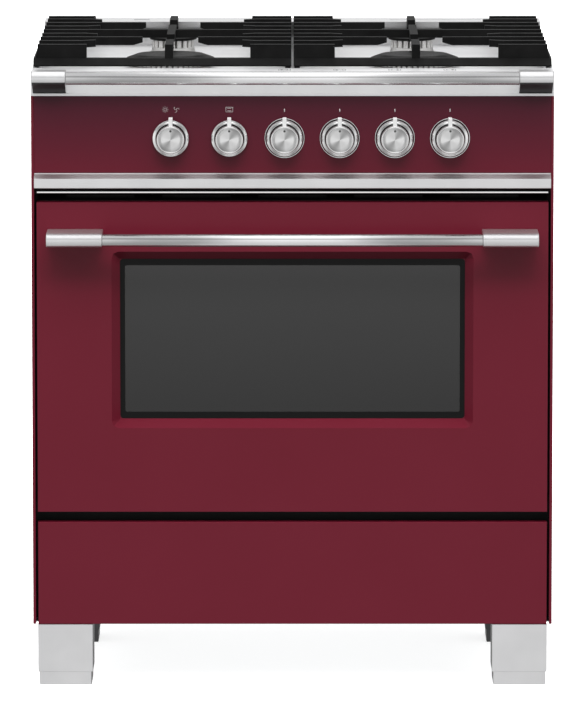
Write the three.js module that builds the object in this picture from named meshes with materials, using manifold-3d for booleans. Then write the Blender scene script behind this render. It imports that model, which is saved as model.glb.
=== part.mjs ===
// A freestanding gas range, 30 inch class: a four-burner cooktop over one oven with a
// drop-down door, and a storage drawer under it, on four square adjustable legs.
//
// All sizes are millimetres. Inside the group `range`, x runs to the right, y runs back from
// the front plane (the outer face of the door), and z is the height above the floor.
// The exported group is shifted so that the origin is the middle of the footprint.
import * as THREE from "three";
import { mergeVertices } from "three/addons/utils/BufferGeometryUtils.js";
import Module from "manifold-3d";

const wasm = await Module();
wasm.setup();

// ---------------------------------------------------------------- driving dimensions
const width = 759; // over the side panels and the cooktop
const depth = 640; // front plane to the back of the cooktop
const legHeight = 90.5; // floor to the underside of the cabinet
const drawerHeight = 150.8;
const doorGap = 15.5; // finger gap between the drawer and the door
const doorHeight = 454.5;
const consoleGap = 21.2; // vent gap between the door and the console trim
const trimHeight = 21.7;
const consoleHeight = 112.3;
const cooktopHeight = 35.5; // cooktop lip to the top of its front strip
const trivetHeight = 33; // cooktop strip to the top of the trivets

const sheet = 1.5; // folded steel sheet
const gap = 0.3; // between pieces that touch
const slit = 3.6; // shadow gap each side of the door and the drawer
const panelEdge = 4.1; // folded front edge of a side panel
const panelHem = 12; // how far that edge is folded back
const rearOverhang = 14; // cooktop behind the back panel
const beyond = 1; // how far a cut runs past the face it starts from
const tubeSides = 12; // sides of a plain tube or rod

const baseFront = 20; // base pan's front edge behind the front plane
const runnerWidth = 20;
const runnerInset = 10; // runner's outer side inside the drawer box's side
const runnerRearSpace = 20;
const louvreCount = 5;
const louvrePitch = 120;
const louvreWidth = 80;
const louvreHeight = 10;

const doorThickness = 44;
const innerPanelFront = 24.5; // where the door's inner panel begins
const windowWidth = 502.6;
const windowSill = 135.4; // door bottom to the bottom of the glass opening
const windowHead = 84.1; // top of the glass opening to the door top
const windowBevel = 12;
const windowRecess = 15;
const windowCorner = 5;
const glass = 4;
const glassMargin = 10; // how far the outer pane laps behind the skin
const innerWindowInset = 16; // inner panel's opening inside the window
const innerGlassInset = 4; // inner pane's edge inside the window
const hingeSetback = 20; // hinge axis behind the front plane
const hingeRise = 6.2; // hinge axis above the door's bottom edge
const hingeRodRadius = 4;
const hingeArmInset = 41.8; // arm's middle inside the door's side
const hingeArmWidth = 8;
const hingeArmThickness = 6;
const hingeHookLength = 8;
const hingeHookDepth = 14;
const hingeArmReach = 26; // arm's end behind the front frame's face
const armPlay = 1; // each side of an arm in the front frame's slot
const notchPlay = 4; // each side of an arm in the inner panel's notch
const notchRise = 12; // top of that notch above the hinge axis
const doorCrown = 9.7; // how far the door's inner top edge stands above its skin
const crownWidth = 6;
const crownStart = 0.7; // where the crown's slope begins above the skin
const airSlotCount = 5;
const airSlotPitch = 140;
const airSlotLength = 100;
const airSlotWidth = 5;
const innerPanelInset = 1; // inner panel's edge inside the skin's edge

const handleStandoff = 58; // handle axis in front of the door
const handleSections = 24; // sides of the handle bar's round section
const handleRadius = 9.1;
const handleDrop = 48.7; // handle axis below the door's top edge
const bracketRadius = 9.9;
const handleInset = 15.8; // handle's end inside the door's side
const handleBracketLength = 80.6;

const railStandoff = 30; // cooktop rail axis in front of the front plane
const railRadius = 9.4;
const railDrop = 7.2; // rail axis below the cooktop strip
const railBracketLength = 48.6;
const railEndGap = 2.6; // cooktop side to the rail's end
const railSections = 20; // sides of the cooktop rail's round section
const bracketToeRise = 3.5; // rail bracket's lower edge above the cooktop's lip

const stripDepth = 54; // flat strip in front of the burner pan
const panDrop = 12; // burner pan below the strip
const apronInset = 4; // cooktop apron behind the front plane
const lipHeight = 3.1; // cooktop lip that turns forward over the console
const rimWidth = 8.5; // raised side rim of the cooktop
const rearTrimDepth = 69;
const rearTrimGap = 2; // trivets to the rear trim
const rearTrimRise = 24; // rear trim above the cooktop strip
const exhaustSlots = [
  [-243, -219],
  [150, 288],
]; // left and right ends of the slots in the rear trim
const exhaustSlotWidth = 12;
const exhaustSlotBack = 40; // slot's front edge before the back of the trim

const trimReach = 10; // how far the console trim stands out
const trimFlat = 14; // height of its upright face
const trimBack = 12; // how far its return runs behind the front plane
const trimTopLip = 1.2; // upright edge at its top
const trimChamfer = 1;
const consoleReturn = 30; // console panel's folded top and bottom

const burnerInset = 191.7; // burner axis inside the trivet's outer side
const burnerRows = 2; // trivet rows between a burner and its end of the trivet
const rowCount = 9;
const trivetFrontY = 71; // front face of the trivet's top bars
const trivetGap = 3.4; // between the two trivets
const trivetEdge = 7.5; // top bars' outer ends inside the cabinet width
const barThickness = 11.8;
const barHeight = 12;
const trivetRailHeight = 11;
const trivetFoot = 2; // trivet's rails above the cooktop strip
const trivetFlareTop = 1.5; // cabinet's side to the foot of the trivet's side
const frontFlare = 12; // how far the trivet's front foot stands out
const tipChamfer = 14; // length of the slope under a finger's tip
const tipHeight = 8; // upright face of a finger's tip
const rootWidth = 12; // how far a bar's deep root runs
const endBarOuter = 71.7; // length of the short outer bar at each end of the trivet
const endBarInner = 60;
const innerFinger = 55; // length of the short inner fingers
const turnedLength = 17; // stretch of a short finger that turns towards the burner
const turnedRise = 11;
const hubReach = 20; // half of the solid part over the middle bar
const innerRailWidth = 10;
const padInset = 30; // feet from the trivet's ends
const padLength = 10;
const fingerReach = 41; // burner axis to the tips of the long fingers
const shortFinger = 83;

const largeCapRadius = 65.5;
const smallCapRadius = 35.5;
const capHeight = 11;
const smallCapHeight = 5;
const largeHeadHeight = 8.5;
const smallHeadHeight = 19;
const largeNeckRadius = 24;
const smallNeckRadius = 16;
const largeHeadInset = 6; // head's rim inside the cap's rim
const smallHeadInset = 2;
const neckPlay = 1; // round the neck in the burner pan
const largeShoulder = 6; // height of the cap's sloped shoulder
const smallShoulder = 2;

const knobHeight = 51; // knob axis above the console's bottom edge
const knobPitch = 80;
const firstKnobX = -91.6; // oven knob, then the four burner knobs
const selectorKnobX = -176.6;
const knobSkirtRadius = 26.7;
const knobBodyRadius = 20.5;
const knobPointerReach = 31;
const knobPointerWidth = 6;
const knobDepth = 31;
const knobTravel = 5; // skirt's clearance from the panel, for pushing the knob in
const knobSkirtThickness = 6;
const pointerSetback = 3; // pointer's face behind the knob's face
const pointerRoot = 5; // how far the pointer runs into the knob's body
const stemRadius = 3.2;
const stemPlay = 0.3;
const panelHolePlay = 2; // round a stem in the console panel
const stemFront = -22;
const stemBack = 56;
const selectorShaftBack = 26;

const manifoldY = 78;
const manifoldRadius = 9;
const manifoldEnd = 20; // pipe beyond the oven valve
const valveFront = 34;
const valveWidth = 22;
const valveHeight = 28;
const valveNoseWall = 5;
const boreEnd = 6; // bore beyond the end of the stem
const gasPipeInset = 79.5; // feed pipe's axis inside the cabinet's side
const gasPipeRadius = 8;
const gasPipePlay = 3;
const gasPipeEnd = 4; // feed pipe's end before the back of the cooktop

const cavityInset = 85.4; // oven wall inside the cabinet's side
const cavityRise = 33.2; // oven floor above the door's bottom edge
const cavityDrop = 21.3; // oven ceiling below the door's top edge
const flueSpace = 123.9; // oven back to the back panel
const frameGap = 4.3; // door's inner face to the front frame
const rackLevels = 5;
const rackPitch = 60;
const firstRackRise = 60;
const ribWidth = 12;
const ribThickness = 3;
const ribEndSpace = 10; // ribs' ends from the front and back of the liner
const rackWire = 3;
const rackSpokeWire = 2;
const rackSpokes = 13;
const rackSidePlay = 4; // oven wall to the axis of a rack's side rod
const rackFrontSpace = 14;
const rackRearSpace = 40;
const rackStopHeight = 14;
const rackStopThickness = 3;
const lowerRackLevel = 1;
const upperRackLevel = 3;

const fanShaftRadius = 5;
const fanShaftPlay = 0.5;
const fanBossWall = 6;
const fanBossLength = 16;
const fanShaftEnd = 22; // shaft's end behind the oven's back wall
const fanCoverReach = 130;
const fanCoverDepth = 32;
const fanRadius = 72;
const fanSlotPitch = 15;
const fanSlotWidth = 6;
const fanSlotCount = 9;
const fanHubRadius = 12;
const fanFrontSpace = 8; // cover's face to the hub
const fanBackSpace = 6; // hub to the oven's back wall
const fanDiscInset = 6; // disc's rim inside the slots' ring
const paddleCount = 8;
const paddleInset = 10;
const paddleStart = 8; // paddle's inner edge from the axis

const bakeTubeRadius = 12;
const bakeTubeDrop = 22; // tube's axis below the oven floor
const bakeEndSpace = 70;
const bakeCrossRadius = 10;
const bakeCrossY = 90; // crossbar behind the liner's front
const bakeFeedRadius = 7;
const bakeFeedLap = 10; // feed's end inside the tube
const bakeFeedReach = 60; // feed's other end behind the oven
const burnerSpread = 110; // half width of the oven's burners
const postRadius = 4;
const bakePostFront = 150;
const bakePostBack = 120;
const broilTubeRadius = 9;
const broilTubeDrop = 24; // tube's axis below the oven ceiling
const broilFrontSpace = 80;
const broilBackSpace = 90;
const broilBridgeInset = 4;
const broilPostInset = 40;

const sealOuter = 16; // seal's outer edge from the oven mouth's sides
const sealInner = 6;
const sealOuterEnd = 12; // its outer edge from the mouth's top and bottom
const sealInnerEnd = 3;
const sealOuterCorner = 14;
const sealInnerCorner = 8;
const sealPlay = 0.4; // door to the seal

const drawerBoxInset = 31.8; // tray side inside the drawer front's side
const drawerBoxDrop = 21.5; // tray rim below the drawer front's top
const drawerRearSpace = 108;
const drawerFrontDepth = 18;
const drawerWall = 3; // tray's walls, folded double over its single floor
const drawerSlotPlay = 4; // tray's side in the front frame
const drawerSlotRise = 13; // that opening above the tray's rim
const runnerHeight = 7;

const legWidth = 80.3;
const legDepth = 77;
const legInset = 7; // leg cover inside the cabinet's side
const legSpacing = 362; // front faces of the front and rear legs
const legFront = 1;
const footHeight = 19.5; // visible height of the adjustable foot
const footPlay = 0.35;
const footLap = 15; // foot inside its sleeve
const footScrewRadius = 6;
const footScrewEnd = 8; // screw's end above the nut plate's underside
const nutPlate = 62; // height of the plate that the foot's screw turns in
const nutPlateThickness = 4;

// ---------------------------------------------------------------- heights and depths
const half = width / 2;
const drawerTop = legHeight + drawerHeight;
const doorBottom = drawerTop + doorGap;
const doorTop = doorBottom + doorHeight;
const trimBottom = doorTop + consoleGap;
const consoleBottom = trimBottom + trimHeight;
const consoleTop = consoleBottom + consoleHeight;
const stripTop = consoleTop + cooktopHeight;
const panFloor = stripTop - panDrop;
const trivetTop = stripTop + trivetHeight;
const insideHalf = half - panelEdge;
const doorHalf = insideHalf - slit;
const cabinetDepth = depth - rearOverhang;
const skinDepth = innerPanelFront - gap;
const frameThickness = 2;
const frameFront = doorThickness + frameGap;
const cavityFront = frameFront + frameThickness + gap;
const cavityBack = cabinetDepth - sheet - flueSpace;
const cavityWidth = 2 * (insideHalf - cavityInset);
const cavityFloor = doorBottom + cavityRise;
const cavityTop = doorTop - cavityDrop;
const windowBottom = doorBottom + windowSill;
const windowTop = doorTop - windowHead;
const hingeZ = doorBottom + hingeRise;
const hingeArmX = doorHalf - hingeArmInset;
const handleOuter = doorHalf - handleInset;
const drawerBoxHalf = doorHalf - drawerBoxInset;
const drawerBoxTop = drawerTop - drawerBoxDrop;
const rearTrimFront = depth - rearTrimDepth;
const rearTrimTop = stripTop + rearTrimRise;
const rowPitch = (rearTrimFront - rearTrimGap - trivetFrontY) / (rowCount - 1);
const trivetBackY = rearTrimFront - rearTrimGap;
const burnerFrontY = trivetFrontY + burnerRows * rowPitch + barThickness / 2;
const burnerRearY = trivetBackY - burnerRows * rowPitch + barThickness / 2;
const trivetOuter = half - trivetEdge;
const burnerX = trivetOuter - burnerInset;
const railZ = stripTop - railDrop;
const handleZ = doorTop - handleDrop;
const fanZ = (cavityFloor + cavityTop) / 2;
const knobZ = consoleBottom + knobHeight;
const manifoldZ = knobZ;
const gasPipeX = half - gasPipeInset;
const burnerKnobs = [1, 2, 3, 4].map((n) => firstKnobX + n * knobPitch);
const centred = (count) => Array.from({ length: count }, (_, n) => n - (count - 1) / 2);

// ---------------------------------------------------------------- solids from three.js shapes
function solidOf(geometry) {
  const bare = geometry.index ? geometry.toNonIndexed() : geometry;
  bare.deleteAttribute("normal");
  bare.deleteAttribute("uv");
  const merged = mergeVertices(bare, 1e-4);
  return new wasm.Manifold(
    new wasm.Mesh({
      numProp: 3,
      vertProperties: merged.attributes.position.array,
      triVerts: new Uint32Array(merged.index.array),
    }),
  );
}

// A box between two values on each axis.
function slab([x0, x1], [y0, y1], [z0, z1]) {
  const box = new THREE.BoxGeometry(x1 - x0, y1 - y0, z1 - z0);
  return solidOf(box.translate((x0 + x1) / 2, (y0 + y1) / 2, (z0 + z1) / 2));
}

// Axes of an outline's u and v and of its sweep, for a prism along each axis.
const sweeps = {
  x: [new THREE.Vector3(0, 1, 0), new THREE.Vector3(0, 0, 1), new THREE.Vector3(1, 0, 0)],
  y: [new THREE.Vector3(1, 0, 0), new THREE.Vector3(0, 0, 1), new THREE.Vector3(0, -1, 0)],
  z: [new THREE.Vector3(1, 0, 0), new THREE.Vector3(0, 1, 0), new THREE.Vector3(0, 0, 1)],
};

// An outline swept along an axis: u,v are y,z for x; x,z for y; and x,y for z.
function prism(axis, shape, [from, to], options = {}) {
  const swept = new THREE.ExtrudeGeometry(shape, {
    depth: to - from,
    bevelEnabled: false,
    curveSegments: 4,
    ...options,
  });
  const [u, v, along] = sweeps[axis];
  const start = along.clone().multiplyScalar(axis === "y" ? -to : from);
  return solidOf(swept.applyMatrix4(new THREE.Matrix4().makeBasis(u, v, along).setPosition(start)));
}

const outline = (points) => new THREE.Shape(points.map(([u, v]) => new THREE.Vector2(u, v)));

function roundedRectangle([u0, u1], [v0, v1], r) {
  const shape = new THREE.Shape();
  shape.moveTo(u0 + r, v0);
  shape.lineTo(u1 - r, v0);
  shape.absarc(u1 - r, v0 + r, r, -Math.PI / 2, 0);
  shape.lineTo(u1, v1 - r);
  shape.absarc(u1 - r, v1 - r, r, 0, Math.PI / 2);
  shape.lineTo(u0 + r, v1);
  shape.absarc(u0 + r, v1 - r, r, Math.PI / 2, Math.PI);
  shape.lineTo(u0, v0 + r);
  shape.absarc(u0 + r, v0 + r, r, Math.PI, 1.5 * Math.PI);
  return shape;
}

// A round bar along an axis; centre is the point where it crosses the other two axes.
function rod(axis, radius, [from, to], [u, v], sides = tubeSides) {
  const bar = new THREE.CylinderGeometry(radius, radius, to - from, sides);
  const middle = (from + to) / 2;
  if (axis === "x") bar.rotateZ(Math.PI / 2).translate(middle, u, v);
  if (axis === "y") bar.translate(u, middle, v);
  if (axis === "z") bar.rotateX(Math.PI / 2).translate(u, v, middle);
  return solidOf(bar);
}

// A profile of [radius, height] points turned about an upright axis at x, y.
function turned(points, [x, y], sides = 28) {
  const lathe = new THREE.LatheGeometry(points.map(([r, z]) => new THREE.Vector2(r, z)), sides);
  return solidOf(lathe.rotateX(Math.PI / 2).translate(x, y, 0));
}

const join = (first, ...rest) => rest.reduce((whole, piece) => whole.add(piece), first);
const cut = (first, ...rest) => rest.reduce((whole, piece) => whole.subtract(piece), first);
const both = (make) => [-1, 1].map(make);
const wider = ([from, to], by = beyond) => [from - by, to + by];

// The two x values of a piece that lies between near and far on one side of the middle.
const sideSpan = (side, near, far) => (side < 0 ? [-far, -near] : [near, far]);

// ---------------------------------------------------------------- materials
const finish = (color, roughness, metalness) =>
  new THREE.MeshStandardMaterial({ color, roughness, metalness });
const redEnamel = finish(0x6b2730, 0.35, 0.1);
const steel = finish(0xc8c8c8, 0.3, 1);
const polished = finish(0xe0e0e0, 0.12, 1);
const castIron = finish(0x2b2b2b, 0.7, 0.2);
const blackEnamel = finish(0x161415, 0.4, 0.1);
const liner = finish(0x2c3038, 0.35, 0.1);
const darkGlass = finish(0x303132, 0.1, 0);
const seal = finish(0x3a3835, 0.9, 0);
const galvanised = finish(0x9a9d9f, 0.5, 0.9);
const aluminium = finish(0xd5d5d3, 0.35, 1);

const range = new THREE.Group();

function piece(name, solid, material) {
  const { numProp, vertProperties, triVerts, numVert } = solid.getMesh();
  const positions = new Float32Array(numVert * 3);
  for (let i = 0; i < numVert; i++) {
    positions.set(vertProperties.subarray(i * numProp, i * numProp + 3), i * 3);
  }
  const geometry = new THREE.BufferGeometry();
  geometry.setAttribute("position", new THREE.BufferAttribute(positions, 3));
  geometry.setIndex(new THREE.BufferAttribute(triVerts, 1));
  geometry.computeVertexNormals();
  const mesh = new THREE.Mesh(geometry, material);
  mesh.name = name;
  range.add(mesh);
}

const sideName = (side) => (side < 0 ? "left" : "right");

// ---------------------------------------------------------------- cabinet
// Each side panel is a sheet whose front edge is folded in and back on itself.
function sidePanel(side) {
  const z = [legHeight, consoleTop - gap];
  const skin = slab(sideSpan(side, half - sheet, half), [0, cabinetDepth], z);
  const edge = slab(sideSpan(side, insideHalf, half - gap), [0, sheet], z);
  const hem = slab(sideSpan(side, insideHalf, insideHalf + sheet), [0, panelHem], z);
  return join(skin, edge, hem);
}

// The base carries the legs and the drawer's two runners.
function basePan() {
  const inner = half - sheet - gap;
  const back = cabinetDepth - sheet - gap;
  const floor = slab([-inner, inner], [baseFront, back], [legHeight, legHeight + sheet]);
  const outer = drawerBoxHalf - runnerInset;
  const runners = both((side) =>
    slab(
      sideSpan(side, outer - runnerWidth, outer),
      [cavityFront, back - runnerRearSpace],
      [legHeight, legHeight + runnerHeight],
    ),
  );
  return join(floor, ...runners);
}

// The back panel has a row of cooling louvres and the opening for the gas inlet.
function backPanel() {
  const inner = half - sheet - gap;
  const y = [cabinetDepth - sheet, cabinetDepth];
  const plate = slab([-inner, inner], y, [legHeight, consoleTop - gap]);
  const louvres = centred(louvreCount).map((n) => {
    const x = n * louvrePitch;
    const z = [consoleBottom, consoleBottom + louvreHeight];
    return slab([x - louvreWidth / 2, x + louvreWidth / 2], wider(y), z);
  });
  const inlet = rod("y", gasPipeRadius + gasPipePlay, wider(y), [gasPipeX, manifoldZ]);
  return cut(plate, ...louvres, inlet);
}

// The x values of a hinge arm, with some play each side.
const armSpan = (side, play) =>
  sideSpan(side, hingeArmX - hingeArmWidth / 2 - play, hingeArmX + hingeArmWidth / 2 + play);

// One black plate behind the door frames the oven, the drawer and the hinge arms.
function frontFrame() {
  const inner = half - sheet - gap;
  const y = [frameFront, frameFront + frameThickness];
  const plate = slab([-inner, inner], y, [legHeight + sheet + gap, consoleBottom - gap]);
  const oven = slab([-cavityWidth / 2, cavityWidth / 2], wider(y), [cavityFloor, cavityTop]);
  const drawerHalf = drawerBoxHalf + drawerSlotPlay;
  const drawerSlot = slab([-drawerHalf, drawerHalf], wider(y), [
    legHeight,
    drawerBoxTop + drawerSlotRise,
  ]);
  // An arm swings up to its full reach as the door drops, so its slot is that tall.
  const slotZ = [hingeZ - hingeArmThickness, hingeZ + frameFront + frameThickness];
  const armSlots = both((side) => slab(armSpan(side, armPlay), wider(y), slotZ));
  return cut(plate, oven, drawerSlot, ...armSlots);
}

// ---------------------------------------------------------------- oven
const cavityX = [-cavityWidth / 2, cavityWidth / 2];
const rackLevelZ = (level) => cavityFloor + firstRackRise + level * rackPitch;

// Enamelled five-sided box with pressed ribs that carry the racks.
function ovenLiner() {
  const shell = slab(
    wider(cavityX, sheet),
    [cavityFront, cavityBack + sheet],
    [cavityFloor - sheet, cavityTop + sheet],
  );
  const hollow = slab(cavityX, [cavityFront - beyond, cavityBack], [cavityFloor, cavityTop]);
  const ribs = [];
  for (let level = 0; level < rackLevels; level++) {
    const z = rackLevelZ(level);
    for (const side of [-1, 1]) {
      const x = sideSpan(side, cavityWidth / 2 - ribWidth, cavityWidth / 2 + sheet / 2);
      const y = [cavityFront + ribEndSpace, cavityBack - ribEndSpace];
      ribs.push(slab(x, y, [z - ribThickness, z]));
    }
  }
  const bossBack = cavityBack + fanBossLength;
  const boss = rod("y", fanShaftRadius + fanBossWall, [cavityBack, bossBack], [0, fanZ]);
  const boreY = wider([cavityBack, bossBack]);
  const bore = rod("y", fanShaftRadius + fanShaftPlay, boreY, [0, fanZ]);
  return cut(join(cut(shell, hollow), ...ribs, boss), bore);
}

// The cover is a shallow pan with a ring of slots in front of the fan.
function fanCover() {
  const y = [cavityBack - fanCoverDepth, cavityBack - gap];
  const x = [-fanCoverReach, fanCoverReach];
  const z = [fanZ - fanCoverReach, fanZ + fanCoverReach];
  const inside = slab(wider(x, -sheet), [y[0] + sheet, y[1] + beyond], wider(z, -sheet));
  const slots = centred(fanSlotCount).map((n) => {
    const middle = n * fanSlotPitch;
    const tall = Math.sqrt(fanRadius ** 2 - middle ** 2);
    return slab(
      [middle - fanSlotWidth / 2, middle + fanSlotWidth / 2],
      wider([y[0], y[0] + sheet]),
      [fanZ - tall, fanZ + tall],
    );
  });
  return cut(slab(x, y, z), inside, ...slots);
}

// A hub with flat paddles on a shaft that turns in the liner's boss.
function convectionFan() {
  const y = [cavityBack - fanCoverDepth + fanFrontSpace, cavityBack - fanBackSpace];
  const hub = rod("y", fanHubRadius, y, [0, fanZ]);
  const shaft = rod("y", fanShaftRadius, [y[0], cavityBack + fanShaftEnd], [0, fanZ]);
  const disc = rod("y", fanRadius - fanDiscInset, [y[1] - sheet, y[1]], [0, fanZ], 2 * tubeSides);
  const paddleLength = fanRadius - paddleInset;
  const paddles = [];
  for (let n = 0; n < paddleCount; n++) {
    const paddle = new THREE.BoxGeometry(paddleLength, y[1] - y[0], sheet);
    paddle.translate(paddleLength / 2 + paddleStart, (y[0] + y[1]) / 2, 0);
    paddle.rotateY((n * 2 * Math.PI) / paddleCount);
    paddles.push(solidOf(paddle.translate(0, 0, fanZ)));
  }
  return join(hub, shaft, disc, ...paddles);
}

// A ported tube hung under the oven floor, with its feed running back.
function bakeBurner() {
  const z = cavityFloor - bakeTubeDrop;
  const tubeBack = cavityBack - bakeEndSpace;
  const tube = rod("y", bakeTubeRadius, [cavityFront + bakeEndSpace, tubeBack], [0, z]);
  const cross = rod("x", bakeCrossRadius, [-burnerSpread, burnerSpread], [
    cavityFront + bakeCrossY,
    z,
  ]);
  const feed = rod("y", bakeFeedRadius, [tubeBack - bakeFeedLap, cavityBack + bakeFeedReach], [0, z]);
  const posts = [cavityFront + bakePostFront, cavityBack - bakePostBack].map((y) =>
    rod("z", postRadius, [z, cavityFloor - sheet - gap], [0, y], 8),
  );
  return join(tube, cross, feed, ...posts);
}

// A U of tube under the oven ceiling, hung from it by four posts.
function broilBurner() {
  const z = cavityTop - broilTubeDrop;
  const y = [cavityFront + broilFrontSpace, cavityBack - broilBackSpace];
  const x = [-burnerSpread, burnerSpread];
  const bars = x.map((u) => rod("y", broilTubeRadius, y, [u, z]));
  const bridges = wider(y, -broilBridgeInset).map((v) => rod("x", broilTubeRadius, x, [v, z]));
  const posts = x.flatMap((u) =>
    wider(y, -broilPostInset).map((v) => rod("z", postRadius, [z, cavityTop - gap], [u, v], 8)),
  );
  return join(...bars, ...bridges, ...posts);
}

// A wire rack: a thick border, thin spokes running back, and a raised stop at the rear.
function ovenRack(level) {
  const z = rackLevelZ(level) + gap + rackWire;
  const reach = cavityWidth / 2 - rackSidePlay;
  const y = [cavityFront + rackFrontSpace, cavityBack - rackRearSpace];
  const sides = both((side) => rod("y", rackWire, y, [side * reach, z], 6));
  const ends = y.map((v) => rod("x", rackWire, wider([-reach, reach]), [v, z], 6));
  const spokes = [];
  for (let n = 1; n <= rackSpokes; n++) {
    const x = -reach + (n * 2 * reach) / (rackSpokes + 1);
    spokes.push(rod("y", rackSpokeWire, y, [x, z + 1], 4));
  }
  const braceReach = cavityWidth / 2 - ribWidth - rackWire;
  const brace = rod("x", rackWire, [-braceReach, braceReach], [(y[0] + y[1]) / 2, z - 1], 6);
  const stopY = wider([y[1], y[1]], rackStopThickness / 2);
  const stop = slab([-reach, reach], stopY, [z, z + rackStopHeight]);
  return join(...sides, ...ends, ...spokes, brace, stop);
}

// ---------------------------------------------------------------- gas
// A cross pipe with a valve block behind each gas knob, fed from the back of the range. Each
// block's nose is fixed to the back of the console panel.
function gasManifold() {
  const pipeX = [firstKnobX - manifoldEnd, gasPipeX];
  const pipe = rod("x", manifoldRadius, pipeX, [manifoldY, manifoldZ]);
  const feed = rod("y", gasPipeRadius, [manifoldY, depth - gasPipeEnd], [gasPipeX, manifoldZ]);
  const valves = [firstKnobX, ...burnerKnobs].map((x) => {
    const block = slab(
      wider([x, x], valveWidth / 2),
      [valveFront, manifoldY],
      wider([manifoldZ, manifoldZ], valveHeight / 2),
    );
    const nose = rod("y", stemRadius + valveNoseWall, [sheet + gap, valveFront + beyond], [
      x,
      manifoldZ,
    ]);
    const bore = rod("y", stemRadius + stemPlay, [0, stemBack + boreEnd], [x, manifoldZ], 10);
    return cut(join(block, nose), bore);
  });
  return join(pipe, feed, ...valves);
}

const valveStem = (x) => rod("y", stemRadius, [stemFront, stemBack], [x, knobZ], 10);

// ---------------------------------------------------------------- console
// A folded panel with a hole for each control.
function consolePanel() {
  const x = [-insideHalf + gap, insideHalf - gap];
  const z = [consoleBottom + gap, consoleTop - gap];
  const panel = slab(x, [0, consoleReturn], z);
  const inside = slab(wider(x), [sheet, consoleReturn + beyond], wider(z, -sheet));
  const holes = [selectorKnobX, firstKnobX, ...burnerKnobs].map((knobX) =>
    rod("y", stemRadius + panelHolePlay, wider([0, sheet]), [knobX, knobZ]),
  );
  return cut(panel, inside, ...holes);
}

// A stainless bar whose upright face slopes back to a thin top edge.
function consoleTrim() {
  const inner = insideHalf - gap;
  const profile = outline([
    [-trimReach, trimBottom + trimChamfer],
    [-trimReach + trimChamfer, trimBottom],
    [trimBack, trimBottom],
    [trimBack, consoleBottom],
    [-trimChamfer, consoleBottom],
    [-trimChamfer, consoleBottom - trimTopLip],
    [-trimReach, trimBottom + trimFlat],
  ]);
  return prism("x", profile, [-inner, inner]);
}

// Skirt, body and pointer. A gas knob has a blind bore for its valve stem; the selector
// carries its own shaft through the panel.
function knob(x, withBore) {
  const back = -knobTravel;
  const skirt = rod("y", knobSkirtRadius, [back - knobSkirtThickness, back], [x, knobZ], 28);
  const bodyBack = back - knobSkirtThickness + beyond;
  const body = rod("y", knobBodyRadius, [-knobDepth, bodyBack], [x, knobZ], 24);
  const pointer = slab(
    wider([x, x], knobPointerWidth / 2),
    [-knobDepth + pointerSetback, back - beyond],
    [knobZ + knobBodyRadius - pointerRoot, knobZ + knobPointerReach],
  );
  const whole = join(skirt, body, pointer);
  const shaft = rod("y", stemRadius, [back - beyond, selectorShaftBack], [x, knobZ]);
  const bore = rod("y", stemRadius + stemPlay, [stemFront - 1, 0], [x, knobZ], 10);
  return withBore ? cut(whole, bore) : join(whole, shaft);
}

// ---------------------------------------------------------------- cooktop
const largeBurner = { neck: largeNeckRadius, headInset: largeHeadInset, headHeight: largeHeadHeight };
const smallBurner = { neck: smallNeckRadius, headInset: smallHeadInset, headHeight: smallHeadHeight };
const largeCap = { radius: largeCapRadius, height: capHeight, shoulder: largeShoulder };
const smallCap = { radius: smallCapRadius, height: smallCapHeight, shoulder: smallShoulder };
const burnerSpots = [
  { name: "front_left", x: -burnerX, y: burnerFrontY, ...largeBurner, cap: largeCap },
  { name: "front_right", x: burnerX, y: burnerFrontY, ...largeBurner, cap: largeCap },
  { name: "rear_left", x: -burnerX, y: burnerRearY, ...smallBurner, cap: smallCap },
  { name: "rear_right", x: burnerX, y: burnerRearY, ...smallBurner, cap: smallCap },
];

// Front strip, side rims, sunken burner pan, front apron and rear upstand, pressed from one sheet.
function cooktopTray() {
  const rimInner = half - rimWidth;
  const panX = [-rimInner, rimInner];
  const back = rearTrimFront - gap;
  const wallY = [stripDepth - sheet, back];
  const top = [stripTop - sheet, stripTop];
  const wallZ = [panFloor - sheet, stripTop];
  const strip = slab([-half, half], [apronInset, stripDepth], top);
  const apronBack = apronInset + sheet;
  const apron = slab([-half, half], [apronInset, apronBack], [consoleTop, stripTop]);
  const lip = slab([-half, half], [0, apronBack], [consoleTop, consoleTop + lipHeight]);
  const step = slab(panX, [stripDepth - sheet, stripDepth], [panFloor, stripTop]);
  const floor = slab(panX, wallY, [panFloor - sheet, panFloor]);
  const rear = slab(panX, [back - sheet, back], wallZ);
  const sides = both((side) =>
    join(
      slab(sideSpan(side, rimInner - sheet, half), wallY, top),
      slab(sideSpan(side, half - sheet, half), [apronInset, back], [consoleTop, stripTop]),
      slab(sideSpan(side, rimInner - sheet, rimInner), wallY, wallZ),
    ),
  );
  const holes = burnerSpots.map(({ x, y, neck }) =>
    rod("z", neck + neckPlay, wider([panFloor - sheet, panFloor]), [x, y], 2 * tubeSides),
  );
  return cut(join(strip, apron, lip, step, floor, rear, ...sides), ...holes);
}

// A box section across the back, open below, with two exhaust slots in its top.
function rearTrim() {
  const x = [-half, half];
  const y = [rearTrimFront, depth];
  const z = [consoleTop, rearTrimTop];
  const inside = slab(wider(x, -sheet), wider(y, -sheet), [z[0] - beyond, z[1] - sheet]);
  const slotFront = depth - exhaustSlotBack;
  const slots = exhaustSlots.map((ends) =>
    slab(ends, [slotFront, slotFront + exhaustSlotWidth], wider([z[1] - sheet, z[1]])),
  );
  return cut(slab(x, y, z), inside, ...slots);
}

function frontRail() {
  const end = half - railEndGap - railBracketLength - gap;
  return rod("x", railRadius, [-end, end], [-railStandoff, railZ], railSections);
}

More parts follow.
